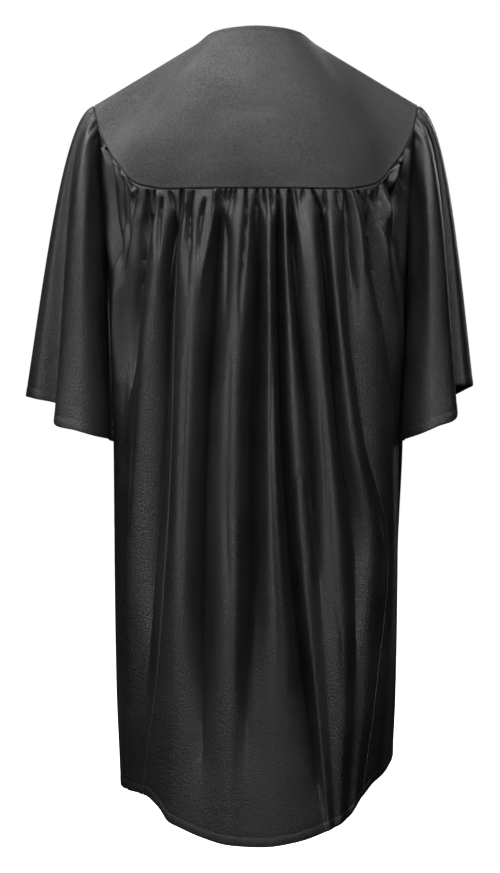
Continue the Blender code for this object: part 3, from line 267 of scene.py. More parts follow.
# Small folds of the back: each runs through points, x and drop in mm in turn, and stands out
# (or in, when negative) by its height, with a soft edge of its width on either side
BACK_CREASES = [
    # Pockets and gathers below the yoke
    ((144, 161, 141, 182, 143, 206, 141, 220), -2.6, 1.9),
    ((136, 182, 140, 212, 143, 246), -2.2, 1.7),
    ((132, 176, 136, 192, 138, 211), 1.6, 2.0),
    ((128, 177, 133, 188, 135, 205), -2.2, 1.6),
    ((117, 179, 121, 210, 124, 257, 131, 325, 136, 390), -3.0, 2.6),
    ((109, 179, 110, 192, 115, 217), -2.8, 2.2),
    ((105, 180, 107, 206, 109, 233), 1.2, 2.2),
    ((101, 187, 105, 215, 105, 239), -2.6, 1.8),
    ((93, 180, 89, 194), -1.8, 1.4),
    ((80, 179, 82, 206, 91, 239, 94, 275), -2.6, 2.4),
    ((73, 179, 75, 206, 81, 251), 1.6, 1.8),
    ((67, 180, 71, 206, 71, 239, 73, 265), -2.0, 1.7),
    ((55, 189, 60, 215, 63, 248), -2.4, 2.0),
    ((43, 179, 44, 199, 50, 239, 57, 271), 1.6, 2.0),
    ((38, 179, 36, 198), -1.5, 1.3),
    ((32, 179, 33, 194), -1.5, 1.2),
    ((26, 179, 31, 200), -1.5, 1.3),
    ((22, 179, 26, 202), -1.5, 1.3),
    ((34, 201, 31, 239, 32, 296), -3.0, 2.6),
    ((11, 179, 11, 206, 13, 239, 17, 292), -2.2, 1.7),
    ((-1, 179, 1, 215, 0, 256), -2.0, 2.0),
    ((-8, 179, -10, 205), -1.8, 1.3),
    ((-15, 179, -17, 202), -1.8, 1.3),
    ((-23, 179, -24, 206, -23, 244, -26, 296), -2.0, 1.5),
    ((-35, 179, -36, 204, -40, 239, -45, 286), -2.0, 2.2),
    ((-39, 179, -42, 206, -50, 263), 1.2, 2.0),
    ((-50, 179, -49, 193), -1.3, 1.3),
    ((-60, 179, -65, 192, -70, 206, -73, 239, -78, 286), -2.6, 1.6),
    ((-73, 179, -74, 197, -73, 214), -1.5, 1.5),
    ((-86, 179, -89, 196), -1.3, 1.4),
    ((-95, 179, -100, 206, -102, 239, -107, 286), -2.4, 1.8),
    ((-100, 179, -107, 206, -114, 251), 1.2, 2.0),
    ((-109, 179, -118, 196, -120, 215, -126, 263, -132, 296), -2.4, 1.7),
    ((-118, 179, -124, 191), -1.8, 1.3),
    ((-120, 180, -128, 206, -137, 251), 1.0, 1.8),
    ((-126, 180, -132, 206, -139, 229), -2.2, 1.6),
    ((-134, 174, -137, 192, -149, 227, -153, 274), 1.6, 2.0),
    ((-141, 166, -147, 180, -151, 188), -3.2, 1.8),
    ((-154, 144, -161, 166), -2.4, 1.6),
    # Long faint lines
    ((139, 255, 143, 300, 143, 345, 144, 400), -2.0, 2.6),
    ((-65, 360, -75, 476, -79, 571, -91, 655), -1.0, 2.2),
    ((27, 328, 30, 423, 32, 529, 26, 634), -0.8, 2.6),
    ((122, 328, 132, 423, 137, 529), -0.8, 2.6),
    ((-16, 296, -16, 423, -20, 550, -26, 655), -0.7, 2.0),
    ((71, 318, 76, 402, 79, 487, 81, 582), -0.9, 2.2),
    # Gathers at the yoke's lower corners
    ((167, 117, 165, 130, 163, 143), -1.4, 1.3),
    ((164, 126, 161, 138, 159, 151), 1.2, 1.6),
    ((160, 133, 157, 147, 155, 161), -1.8, 1.4),
    ((154, 143, 151, 155, 150, 169), 1.3, 1.7),
    ((150, 149, 147, 162, 146, 178), -1.9, 1.4),
    ((145, 156, 142, 168, 141, 181), 1.2, 1.6),
    ((139, 163, 137, 175, 136, 190), -1.7, 1.3),
    ((-164, 118, -162, 131, -160, 145), -1.5, 1.3),
    ((-160, 128, -157, 141, -156, 154), 1.2, 1.6),
    ((-156, 137, -153, 150, -152, 163), -1.8, 1.4),
    ((-150, 147, -148, 160, -147, 174), 1.2, 1.7),
    ((-146, 154, -143, 166, -142, 180), -1.8, 1.4),
    ((-134, 169, -133, 180, -133, 192), -1.6, 1.3),
    # Beside the armholes
    ((165, 126, 163, 149, 162, 186, 158, 226, 151, 265, 149, 314, 150, 353), 1.7, 3.0),
    ((155, 145, 157, 173, 155, 200, 149, 233, 146, 262), -2.2, 2.4),
    ((142, 255, 146, 290, 148, 335, 148, 380), 1.8, 3.6),
    ((-165, 128, -164, 172, -161, 226, -157, 292, -158, 346), 1.5, 2.6),
    ((-157, 145, -152, 183, -148, 227, -152, 281, -156, 325), -2.2, 2.6),
    ((-152, 140, -141, 183, -135, 225, -142, 270, -151, 308, -156, 352), 1.8, 3.4),
    # A wrinkle in the middle
    ((-48, 476, -39, 499, -38, 529, -45, 571), -1.6, 1.8),
    ((-49, 480, -56, 508, -61, 550, -63, 577), -1.4, 1.6),
]

# Small gathers at the top of a sleeve: distance round the armhole from the shoulder tip in mm, height
# in mm, and the share of the sleeve's length that each runs down
CAP_GATHERS = table("cap   height length", [
    (-31, -1.2, 0.10), (-24, 1.0, 0.16), (-18, -1.3, 0.20),
    (-12, 1.2, 0.26), (-7, -1.6, 0.34), (-2, 1.4, 0.30),
    (3, -1.6, 0.26), (8, 1.5, 0.34), (14, -1.7, 0.28),
    (19, 1.2, 0.20), (25, -1.5, 0.16), (31, 1.0, 0.14),
    (38, -1.3, 0.12), (46, 0.8, 0.10),
])
CAP_GATHER_WIDTH = 2.4

# Soft unevenness of the back yoke: x and drop of its middle, half sizes across and down,
# and height, all in mm
YOKE_DENTS = (
    (8, 92, 34, 9, -0.9),
    (2, 104, 40, 10, 0.8),
    (70, 60, 26, 20, 0.8),
    (104, 96, 20, 26, -0.7),
    (-58, 100, 26, 14, 0.6),
    (-96, 88, 22, 24, -0.6),
    (-34, 66, 22, 16, -0.5),
    (52, 138, 36, 10, -0.6),
    (-66, 146, 40, 9, -0.6),
    (120, 128, 14, 18, 0.6),
    (-122, 122, 14, 18, 0.6),
)

ZIP_TOP = 0.070
ZIP_BOTTOM = 0.813
SLIDER_SPAN = (0.0755, 0.0885)  # drops between which the slider hides the chain
TOOTH_PITCH = 0.0021
TOOTH_LENGTH = 0.0026
TOOTH_WIRE = 0.00045
TOOTH_SHIFT = 0.0004  # to the left and right in turn
TOOTH_SINK = 0.0002
STITCH_PITCH = 0.0031
STITCH_LENGTH = 0.0023
STITCH_RADIUS = 0.00017
HEM_STITCH_ROW = -8  # the row of the mesh that lies on a turned hem's stitching
NECK_STITCH_ROW = 7
MOTTLE_SCALE = 420.0  # grains of the satin that the photo still shows, about 2 mm across
CLOUD_SCALE = 14.0
ROUGHNESS_VARIES = 0.12
SATIN_DARK = (0.0007, 0.0007, 0.0007)
SATIN_LIGHT = (0.0017, 0.0017, 0.0018)
ZIP_STITCH_AWAY = 0.0065  # from the zip's opening, along the body's upper edge

FLOOR_HALF = 12.0
FLOOR_Z = -1.04
WORLD_LIGHT = 0.004  # strength of the white background as a light
LIGHTS = (  # name, place, what it faces, its two sizes, watts
    ("above_camera", (0.3, 2.6, 0.95), (0.0, 0.0, -0.3), (1.0, 0.7), 60),
    ("far_left", (2.4, 1.6, 0.5), (0.0, 0.0, -0.35), (0.6, 1.2), 6),
    ("high_left", (1.3, 0.8, 1.8), (0.1, 0.0, -0.05), (0.9, 0.9), 24),
    ("overhead", (0.95, -0.35, 1.9), (0.08, 0.0, -0.05), (1.0, 1.0), 48),
    ("high_right", (-0.9, 1.1, 1.8), (0.0, 0.0, -0.1), (1.0, 1.0), 28),
    ("front", (-0.9, -2.6, 0.8), (0.0, 0.0, -0.4), (1.6, 1.6), 50),
)
CAMERA_PLACE = (0.0067, 2.4, -0.4406)
FRAME_HEIGHT = 0.97  # metres that the camera sees from top to bottom, level with the origin
SENSOR = 36.0


def smooth(knots, values, where):
    """Values on a cubic curve through the knots that is level at its crests and never overshoots."""
    steps = np.diff(knots)
    rises = np.diff(values) / steps
    same_way = rises[:-1] * rises[1:] > 0
    slopes = np.concatenate([[rises[0]], np.zeros(len(rises) - 1), [rises[-1]]])
    slopes[1:-1][same_way] = 2 / (1 / rises[:-1][same_way] + 1 / rises[1:][same_way])
    where = np.clip(where, knots[0], knots[-1])
    cell = np.clip(np.searchsorted(knots, where, side="right") - 1, 0, len(steps) - 1)
    step = steps[cell]
    part = (where - knots[cell]) / step
    return hermite(part, values[cell], values[cell + 1], step * slopes[cell], step * slopes[cell + 1])


def look(rows, name, where):
    """A table's named column on a smooth curve over its first column."""
    return smooth(next(iter(rows.values())), rows[name], where)


def hermite(part, first, last, first_slope, last_slope):
    """Cubic between two values with the slopes it has there."""
    return (
        (1 + 2 * part) * (1 - part) ** 2 * first
        + part * (1 - part) ** 2 * first_slope
        + part**2 * (3 - 2 * part) * last
        + part**2 * (part - 1) * last_slope
    )


def bezier(share, start, near_start, near_end, end):
    """Points on the curve from start to end that two more points pull towards them."""
    return (
        (1 - share) ** 3 * start
        + 3 * share * (1 - share) ** 2 * near_start
        + 3 * share**2 * (1 - share) * near_end
        + share**3 * end
    )


def ease(value, low, high):
    """0 up to low, 1 from high on, and a soft step between them."""
    part = np.clip((value - low) / (high - low), 0, 1)
    return part * part * (3 - 2 * part)


def unit(vectors):
    """The vectors, each made one long."""
    return vectors / np.linalg.norm(vectors, axis=-1, keepdims=True)


def body_form(turn, drop):
    """Points of the plain body at the turns and drops."""
    half_width, back, front = (look(BODY_FORM, name, drop) for name in BODY_SIZES)
    across = np.sin(np.radians(turn))
    ahead = np.cos(np.radians(turn))
    power = 2 / SQUARENESS
    x = half_width * np.sign(across) * np.abs(across) ** power
    y = np.where(ahead > 0, back, front) * np.sign(ahead) * np.abs(ahead) ** power
    return np.stack([x, y, -drop + 0 * x], axis=-1)


def form_normal(turn, drop):
    """Level outward directions of the plain body."""
    point = body_form(turn, drop)
    half_width, back, front = (look(BODY_FORM, name, drop) for name in BODY_SIZES)
    depth = np.where(point[..., 1] > 0, back, front)
    power = SQUARENESS - 1
    x = np.sign(point[..., 0]) * np.abs(point[..., 0] / half_width) ** power / half_width
    y = np.sign(point[..., 1]) * np.abs(point[..., 1] / depth) ** power / depth
    return unit(np.stack([x, y, 0 * x], axis=-1))


def turn_at(x, drop):
    """The turn at which the plain body's back has this x."""
    half_width = look(BODY_FORM, "half_width", drop)
    share = np.clip(np.abs(x) / half_width, 0, 1) ** (SQUARENESS / 2)
    return np.sign(x) * np.degrees(np.arcsin(share))


def yoke_edge(along):
    """Turn and drop on the yoke's lower edge, back and front."""
    reach = np.abs(along)
    back_drop = look(YOKE_BACK_EDGE, "drop", reach)
    back_x = look(YOKE_BACK_EDGE, "x", reach)
    front_turn = look(YOKE_FRONT_EDGE_LINE, "turn", reach)
    front_drop = look(YOKE_FRONT_EDGE_LINE, "drop", reach)
    behind = reach <= SHOULDER_TIP
    turn = np.where(behind, turn_at(back_x, back_drop), front_turn)
    return np.sign(along) * turn, np.where(behind, back_drop, front_drop)


def body_edge(along):
    """Turn and drop on the body's upper edge: yoke seam, armhole, front yoke seam."""
    reach = np.abs(along)
    on_front = reach > ARMHOLE_FRONT
    yoke_along = np.where(on_front, reach - ARMHOLE_FRONT + YOKE_AT_ARMHOLE_FRONT, reach)
    yoke_turn, yoke_drop = yoke_edge(yoke_along)
    arm_turn = look(ARMHOLE_EDGE, "turn", reach)
    arm_drop = look(ARMHOLE_EDGE, "drop", reach)
    on_arm = (reach > ARMHOLE_TOP) & ~on_front
    return np.sign(along) * np.where(on_arm, arm_turn, yoke_turn), np.where(on_arm, arm_drop, yoke_drop)


def folded_at_tip(reach):
    """Places past the shoulder's tip, as the places on the back that face them."""
    return np.where(reach > SHOULDER_TIP, 2 * SHOULDER_TIP - reach, reach)


def seam_normal(along, turn, drop, on_yoke):
    """Outward direction shared by both sides of a seam: level, but tilted up towards the shoulder."""
    reach = np.abs(along)
    if on_yoke:
        tilt = ease(folded_at_tip(reach), TILT_FROM, SHOULDER_TIP)
    else:
        front = 2 * SHOULDER_TIP - (reach - ARMHOLE_FRONT + YOKE_AT_ARMHOLE_FRONT)
        beside = np.where(reach > ARMHOLE_FRONT, front, np.minimum(reach, ARMHOLE_TOP))
        past = np.minimum(reach - ARMHOLE_TOP, ARMHOLE_FRONT - reach)
        tilt = ease(beside, TILT_FROM, SHOULDER_TIP) * (1 - ease(past, 0.0, TILT_DOWN_ARMHOLE))
    level = form_normal(turn, drop)
    return unit(level + tilt[..., None] * np.array([0.0, 0.0, TILT_RISE]))


def fold_lines():
    """Each fold's row as a dictionary, with its turns in degrees and its lengths in metres."""
    lines = []
    names = FOLD_COLUMNS.split()
    for rows, by_x in ((LEFT_FOLDS, False), (BACK_FOLDS, True), (RIGHT_FOLDS, False)):
        for row in rows:
            fold = dict(zip(names, row))
            along = fold["along"] / 1000
            top_turn, top_drop = body_edge(np.array(along))
            places = np.array([fold[name] for name in names[2:8]], float)
            if by_x:
                places = turn_at(places / 1000, np.array(FOLD_DROPS + (HEM_ABOUT,)))
            hem_drop = look(HEM, "drop", places[-1])
            drops = np.array(FOLD_DROPS + (float(hem_drop),))
            below = drops > top_drop + 0.02
            lines.append(
                {
                    "name": fold["name"],
                    "along": along,
                    "drops": np.concatenate([[top_drop], drops[below]]),
                    "turns": np.concatenate([[top_turn], places[below]]),
                    "hem_turn": places[-1],
                    "depth": fold["depth"] / 1000,
                    "full": fold["full"] / 1000,
                    "gone": fold["gone"] / 1000,
                }
            )
    return lines


def line_turn(line, drop):
    """Where a fold line runs at these drops."""
    return smooth(line["drops"], line["turns"], drop)


def line_depth(line, drop):
    """How far a fold line stands out at these drops; beside an armhole it starts under the arm."""
    beside_arm = ARMHOLE_TOP < abs(line["along"]) < ARMHOLE_FRONT
    start = UNDERARM_DROP if beside_arm else line["drops"][0]
    at_back = abs(line["along"]) < HOLLOWS_DEEPER_WITHIN
    depth = line["depth"] * (HOLLOWS_DEEPER if line["depth"] < -0.005 and at_back else 1.0)
    fade = ease(drop, line["full"], line["gone"])
    return depth * ease(drop, start, start + FOLD_START) * (1 - (1 - LEFT_AT_HEM) * fade)


def front_gather(along, below):
    """The small gathers under the front yokes, uneven in spacing and length."""
    reach = np.abs(along)
    wave = along / FRONT_GATHER_PITCH + 0.30 * np.sin(along / 0.017) + 0.21 * np.sin(along / 0.0071)
    length = FRONT_GATHER_LENGTH * (1 + 0.45 * np.sin(along / 0.012))
    height = FRONT_GATHER_HEIGHT * (0.3 + 0.7 * ease(below, 0.0, 0.008))
    height = height * (1 - ease(below, length / 4, length))
    from_arm = ease(reach, ARMHOLE_FRONT + 0.004, ARMHOLE_FRONT + 0.020)
    to_opening = 1 - ease(reach, FRONT_EDGE - 0.026, FRONT_EDGE - 0.014)
    return height * from_arm * to_opening * np.cos(2 * math.pi * wave)


def creases(points, rows):
    """Heights of the small folds at points of the back: each is a soft line of x over drop."""
    x = points[..., 0] * 1000
    drop = -points[..., 2] * 1000
    height = np.zeros_like(x)
    for path, rise, width in rows:
        path_x, path_drop = np.array(path, float).reshape(-1, 2).T
        middle = smooth(path_drop, path_x, drop) if len(path_x) > 2 else np.interp(drop, path_drop, path_x)
        first, last = path_drop[0], path_drop[-1]
        span = last - first
        at_seam = first < SEAM_ABOVE
        start = (RIDGE_FADE if rise > 0 else TROUGH_FADE) if at_seam else 0.3 * span
        fade = ease(drop, first - 3, first + start) * (1 - ease(drop, last - 0.5 * span, last + 0.45 * span))
        at_top = CREASE_TOP_WIDTH if rise < 0 and at_seam else 1.0
        widening = ease(drop, first - 3, first + 0.55 * span)
        away = (x - middle) / (width * (at_top + (CREASES_WIDER - at_top) * widening))
        profile = np.exp(-(away**2)) if rise > 0 else np.exp(-1.3 * (np.sqrt(away**2 + 0.06) - 0.245))
        height += rise * fade * profile
    return np.where(points[..., 1] > 0, height, 0) * CREASES_DEEPER / 1000


def grid_normals(points, closed=False):
    """Outward directions of a grid whose rows go down and whose columns go to the viewer's right."""
    down = np.gradient(points, axis=0)
    across = np.gradient(points, axis=1)
    if closed:
        across = (np.roll(points, -1, axis=1) - np.roll(points, 1, axis=1)) / 2
    return unit(np.cross(down, across))


def body_columns(lines):
    """Positions of the mesh's columns, in lines from the first, close enough for the finest folds."""
    places = []
    for index, (one, other) in enumerate(zip(lines, lines[1:])):
        drop = 0.45
        apart = body_form(line_turn(one, drop), drop) - body_form(line_turn(other, drop), drop)
        spacing = max(np.linalg.norm(apart), abs(one["along"] - other["along"]) * 0.85)
        middle = abs(one["along"] + other["along"]) / 2
        step = COLUMN_STEP if middle < ARMHOLE_TOP else SIDE_STEP if middle < ARMHOLE_FRONT else FRONT_STEP
        count = math.ceil(spacing / step)
        places.extend(index + np.arange(count) / count)
    return np.array(places + [len(lines) - 1.0])


def row_offsets(total, fine_top, hem):
    """Distances from the top edge, as rows: fine ones, even ones, and those of the turned hem."""
    near_hem = np.array([hem * share for share in HEM_SHARES] + [0.0016, 0.0007, 0.00025, 0.0])
    fine = np.array(fine_top)
    count = int(math.ceil((float(np.max(total)) - fine[-1] - near_hem[0]) / ROW_STEP))
    shares = np.linspace(0, 1, count + 1)[1:, None]
    top = fine[:, None] + 0 * total
    middle = fine[-1] + shares * (total - near_hem[0] - fine[-1])
    bottom = total - near_hem[1:, None]
    return np.concatenate([top, middle, bottom])


def neighbours(values, places):
    """Each place's cell between two fold lines, the values on both, and the rises before, in and after it."""
    last = len(values) - 2
    cell = np.minimum(places.astype(int), last)
    before, here, there, after = (
        np.stack([values[np.clip(at + step, 0, last + 1), :, c] for c, at in enumerate(cell)], axis=-1)
        for step in (-1, 0, 1, 2)
    )
    return cell, here, there, (here - before, there - here, after - there)


def across_lines(values, places):
    """Values between fold lines, from one grid of values a line: a cubic that doesn't overshoot."""
    cell, here, there, rises = neighbours(values, places)

    def slope(one, other):
        same_way = one * other > 0
        safe_one = np.where(same_way, one, 1.0)
        safe_other = np.where(same_way, other, 1.0)
        return np.where(same_way, 2 / (1 / safe_one + 1 / safe_other), 0.0)

    last = len(values) - 2
    first_slope = np.where(cell == 0, rises[1], slope(rises[0], rises[1]))
    last_slope = np.where(cell == last, rises[1], slope(rises[1], rises[2]))
    return hermite(places - cell, here, there, first_slope, last_slope)


def fold_depths(values, places):
    """Depths between fold lines: crests are round, hollows are sharp, slopes between them run on."""
    cell, here, there, rises = neighbours(values, places)

    def slopes(one, other):
        """Slopes on both sides of a line, from the rises before and after it."""
        total = np.abs(one) + np.abs(other) + ROUNDING
        mean = 2 * np.abs(one * other) / total
        same_way = one * other > 0
        hollow = (one < 0) & (other > 0)
        steep = ease(np.minimum(-one, other), *SHARP_FROM) * np.where(hollow, 1.0, 0.0)
        down, up = (steep * np.minimum(HOLLOW_SLOPE * mean, np.abs(STEEPEST * rise)) for rise in (one, other))
        return (np.where(same_way, np.sign(one) * mean, way) for way in (-down, up))

    _, first_slope = slopes(rises[0], rises[1])
    last_slope, _ = slopes(rises[1], rises[2])
    return hermite(places - cell, here, there, first_slope, last_slope)


def body_surface(lines, places):
    """The body's cloth as a grid of outer points and one of outward directions, rows going down."""
    order = np.arange(len(lines))
    alongs = np.interp(places, order, [line["along"] for line in lines])
    top_turn, top_drop = body_edge(alongs)
    hem_turn = smooth(order, np.array([line["hem_turn"] for line in lines]), places)
    hem_drop = look(HEM, "drop", hem_turn)
    below = row_offsets(hem_drop - top_drop, FINE_ROWS, BODY_HEM)
    drop = top_drop + below
    turns = np.array([line_turn(line, drop) for line in lines])
    turn = across_lines(turns, places)
    depths = np.array([line_depth(line, drop) for line in lines])
    depth = fold_depths(depths, places)
    turn += (top_turn - turn[0]) * (1 - ease(below, 0.0, 0.050))
    depth += front_gather(alongs, below)
    beside_yoke = (np.abs(alongs) < ARMHOLE_TOP) | (np.abs(alongs) > ARMHOLE_FRONT)
    depth += PUFF * beside_yoke * ease(below, 0.001, 0.010) * (1 - ease(below, 0.014, 0.050))
    outward = form_normal(turn, drop)
    points = body_form(turn, drop) + outward * depth[..., None]
    points += outward * creases(points, BACK_CREASES)[..., None]
    total = below[-1]
    points += outward * hem_relief(total - below, BODY_HEM)[..., None]
    normals = grid_normals(points)
    top_way = seam_normal(alongs, top_turn, top_drop, on_yoke=False)
    normals = turned_to(normals, top_way, below)
    tuck = TUCK_DEPTH * (1 - ease(below, 0.0, TUCK))
    points -= normals * tuck[..., None]
    thick = thickness(total - below, BODY_HEM)
    return points, normals, thick, alongs


def turned_to(normals, way, from_seam):
    """Outward directions that become the seam's own way within a few mm of it."""
    share = 1 - ease(from_seam, 0.0, SEAM_SHARES_WITHIN)[..., None]
    return unit(normals * (1 - share) + way * share)


def thickness(above, hem):
    """Thickness of the cloth, doubled and more where it is turned in."""
    return CLOTH + (TURNED - CLOTH) * (1 - ease(above, hem * 1.04, hem * 1.12))


def hem_relief(above, hem):
    """A turned hem: a little thicker than the cloth, dented along its stitching, round at its edge."""
    band = 0.0002 * (1 - ease(above, hem, hem * 1.1))
    dent = 0.0003 * np.exp(-(((above - hem) / 0.0007) ** 2))
    edge = 0.0006 * (1 - ease(above, 0.0, 0.0016)) ** 2
    return band - dent - edge


def in_scene(name, data):
    """A new object of the scene."""
    thing = bpy.data.objects.new(name, data)
    bpy.context.scene.collection.objects.link(thing)
    return thing


def shell(name, points, inner, closed=False, flip=False):
    """A closed wall of cloth between a grid of outer points and one of inner points."""
    rows, columns = points.shape[:2]
    number = np.arange(rows * columns).reshape(rows, columns)
    if closed:
        number = np.concatenate([number, number[:, :1]], axis=1)
    a = number[:-1, :-1].ravel()
    b = number[:-1, 1:].ravel()
    c = number[1:, :-1].ravel()
    d = number[1:, 1:].ravel()
    outer = np.stack([a, c, d, b], axis=-1)
    if flip:
        outer = outer[:, ::-1]
    total = rows * columns
    faces = [outer, outer[:, ::-1] + total]
    edges = [(number[0, :-1], number[0, 1:]), (number[-1, 1:], number[-1, :-1])]
    if not closed:
        edges += [(number[1:, 0], number[:-1, 0]), (number[:-1, -1], number[1:, -1])]
    for one, other in edges:
        rim = np.stack([one, other, other + total, one + total], axis=-1)
        faces.append(rim[:, ::-1] if flip else rim)
    mesh = bpy.data.meshes.new(name)
    vertices = np.concatenate([points.reshape(-1, 3), inner.reshape(-1, 3)])
    mesh.from_pydata(vertices.tolist(), [], np.concatenate(faces).tolist())
    mesh.shade_smooth()
    mesh.set_sharp_from_angle(angle=math.radians(65))
    return in_scene(name, mesh)


def make_body(lines):
    """The five panels below the yoke, cut from one surface so that their folds run on."""
    places = body_columns(lines)
    points, normals, thick, alongs = body_surface(lines, places)
    starts = {line["name"]: index for index, line in enumerate(lines)}
    pieces = {}
    for name, first, last in PANELS:
        begin = int(np.searchsorted(places, starts[first] - ROUNDING))
        end = int(np.searchsorted(places, starts[last] - ROUNDING)) + 1
        part = points[:, begin:end].copy()
        way = normals[:, begin:end]
        for edge in (0, -1):
            part[:, edge] -= way[:, edge] * SEAM_DIP
        inner = part - way * thick[:, begin:end, None]
        pieces[name] = shell(f"cloth_{name}", part, inner)
    return pieces, points, normals, alongs


def neck_edge(along):
    """Points of the neck edge facing these places of the yoke's edge."""
    reach = np.abs(along)
    angle = np.where(
        reach <= SHOULDER_TIP,
        90 * reach / SHOULDER_TIP,
        90 + 90 * (reach - SHOULDER_TIP) / (YOKE_FRONT_EDGE - SHOULDER_TIP),
    )
    x, y, drop = (look(NECK_EDGE, name, angle) for name in ("x", "y", "drop"))
    return np.stack([np.sign(along) * x, y, -drop], axis=-1)


def yoke_surface(along, shares):
    """The yoke as a grid from the neck down to its lower edge; shares are places on that way."""
    turn, drop = yoke_edge(along)
    seam = body_form(turn, drop)
    neck = neck_edge(along)
    normal = seam_normal(along, turn, drop, on_yoke=True)
    line = seam - neck
    length = np.linalg.norm(line, axis=-1, keepdims=True)
    to_neck = -line / length
    up = unit(to_neck - np.sum(to_neck * normal, axis=-1, keepdims=True) * normal)
    reach = np.abs(along)
    from_tip = folded_at_tip(reach)
    shoulder = ease(from_tip, SHOULDER_FROM, SHOULDER_TIP)[:, None]
    level = form_normal(turn, drop)
    from_neck = unit(line / length + NECK_SPREAD * (1 - shoulder) * level)
    near_neck = neck + YOKE_CURVE_AT_NECK * length * from_neck
    near_seam = seam + YOKE_CURVE_AT_SEAM * length * unit(up * (1 - shoulder) + to_neck * shoulder)
    return bezier(shares[..., None], neck, near_neck, near_seam, seam), normal, length[:, 0]


def make_yoke(name, along, shoulder_ends):
    """One piece of the yoke; shoulder_ends says which of its side edges are shoulder seams."""
    _, _, length = yoke_surface(along, np.zeros((1, len(along))))
    neck_rows = np.array([0, 0.25, 0.7, 1.6, 3.1, 5.5, 6.0, 6.2, 6.4, 6.9, 9.0]) / 1000
    count = int(math.ceil((length.max() - 0.014) / 0.0042))
    seam_rows = np.array([4.5, 2.8, 1.8, 1.2, 0.8, 0.4, 0]) / 1000
    middle = np.linspace(0, 1, count + 1)[1:-1, None]
    offset = np.concatenate(
        [
            neck_rows[:, None] + 0 * length,
            neck_rows[-1] + middle * (length - seam_rows[0] - neck_rows[-1]),
            length - seam_rows[:, None],
        ]
    )
    points, seam_way, _ = yoke_surface(along, offset / length)
    normals = grid_normals(points)
    normals = turned_to(normals, seam_way, length - offset)
    down = unit(np.gradient(points, axis=0))
    for end in shoulder_ends:
        ridge = np.cross([0.0, 1.0, 0.0], down[:, end])
        normals[:, end] = unit(ridge * np.sign(ridge[:, 2:3]))
    relief = hem_relief(offset, NECK_HEM) * 0.8 + yoke_dents(points) * ease(length - offset, 0.0, 0.012)
    relief -= 0.0009 * (1 - ease(length - offset, 0.0, 0.0014))
    relief += 0.0003 * np.exp(-(((length - offset - 0.0022) / 0.0012) ** 2))
    points += normals * relief[..., None]
    thick = thickness(offset, NECK_HEM)
    inner = points - normals * thick[..., None]
    return shell(f"cloth_{name}", points, inner), points, normals


def yoke_dents(points):
    """Heights of the soft dents at points of the back yoke."""
    height = np.zeros(points.shape[:2])
    for x, drop, across, down, rise in YOKE_DENTS:
        away = ((points[..., 0] * 1000 - x) / across) ** 2 + ((-points[..., 2] * 1000 - drop) / down) ** 2
        height += rise / 1000 * np.exp(-away)
    return np.where(points[..., 1] > 0, height, 0)


def make_yokes():
    """The back yoke and the two front yokes."""
    tip = np.linspace(ARMHOLE_TOP, SHOULDER_TIP, 16)[1:]
    count = math.ceil(2 * ARMHOLE_TOP / (COLUMN_STEP * 1.2))
    back = np.linspace(ARMHOLE_TOP, -ARMHOLE_TOP, count)
    count = math.ceil((YOKE_FRONT_EDGE - SHOULDER_TIP) / (COLUMN_STEP * 1.3))
    front = np.linspace(YOKE_FRONT_EDGE, SHOULDER_TIP, count)
    pieces = {}
    grids = {}
    for name, along, shoulder_ends in (
        ("yoke_back", np.concatenate([tip[::-1], back, -tip]), (0, -1)),
        ("yoke_front_left", front, (-1,)),
        ("yoke_front_right", -front[::-1], (0,)),
    ):
        pieces[name], *grids[name] = make_yoke(name, along, shoulder_ends)
    return pieces, grids


def armhole_ring(cap):
    """Points of the left armhole at distances from the shoulder tip, over the back and round."""
    over_yoke = SHOULDER_TIP - ARMHOLE_TOP
    whole = 2 * over_yoke + ARMHOLE_FRONT - ARMHOLE_TOP
    on_back_yoke = cap < over_yoke
    on_front_yoke = cap > whole - over_yoke
    yoke_turn, yoke_drop = yoke_edge(np.where(on_back_yoke, SHOULDER_TIP - cap, SHOULDER_TIP + whole - cap))
    arm_turn, arm_drop = body_edge(np.clip(cap - over_yoke + ARMHOLE_TOP, ARMHOLE_TOP, ARMHOLE_FRONT))
    beside_yoke = on_back_yoke | on_front_yoke
    return body_form(np.where(beside_yoke, yoke_turn, arm_turn), np.where(beside_yoke, yoke_drop, arm_drop))


def round_smooth(stations, values, where, grows):
    """Values round a closed ring whose last row repeats the first; grows is for a value that only rises."""
    if grows:
        return smooth(stations, values, where)
    padded = np.concatenate([values[-3:-1], values, values[1:3]])
    return catmull(padded, where + 2)


def catmull(values, where):
    """Values on the round curve through evenly spaced points."""
    cell = where.astype(int)
    part = where - cell
    before, here, there, after = (values[cell + step] for step in (-1, 0, 1, 2))
    return 0.5 * (
        2 * here
        + (there - before) * part
        + (2 * before - 5 * here + 4 * there - after) * part**2
        + (3 * here - before - 3 * there + after) * part**3
    )


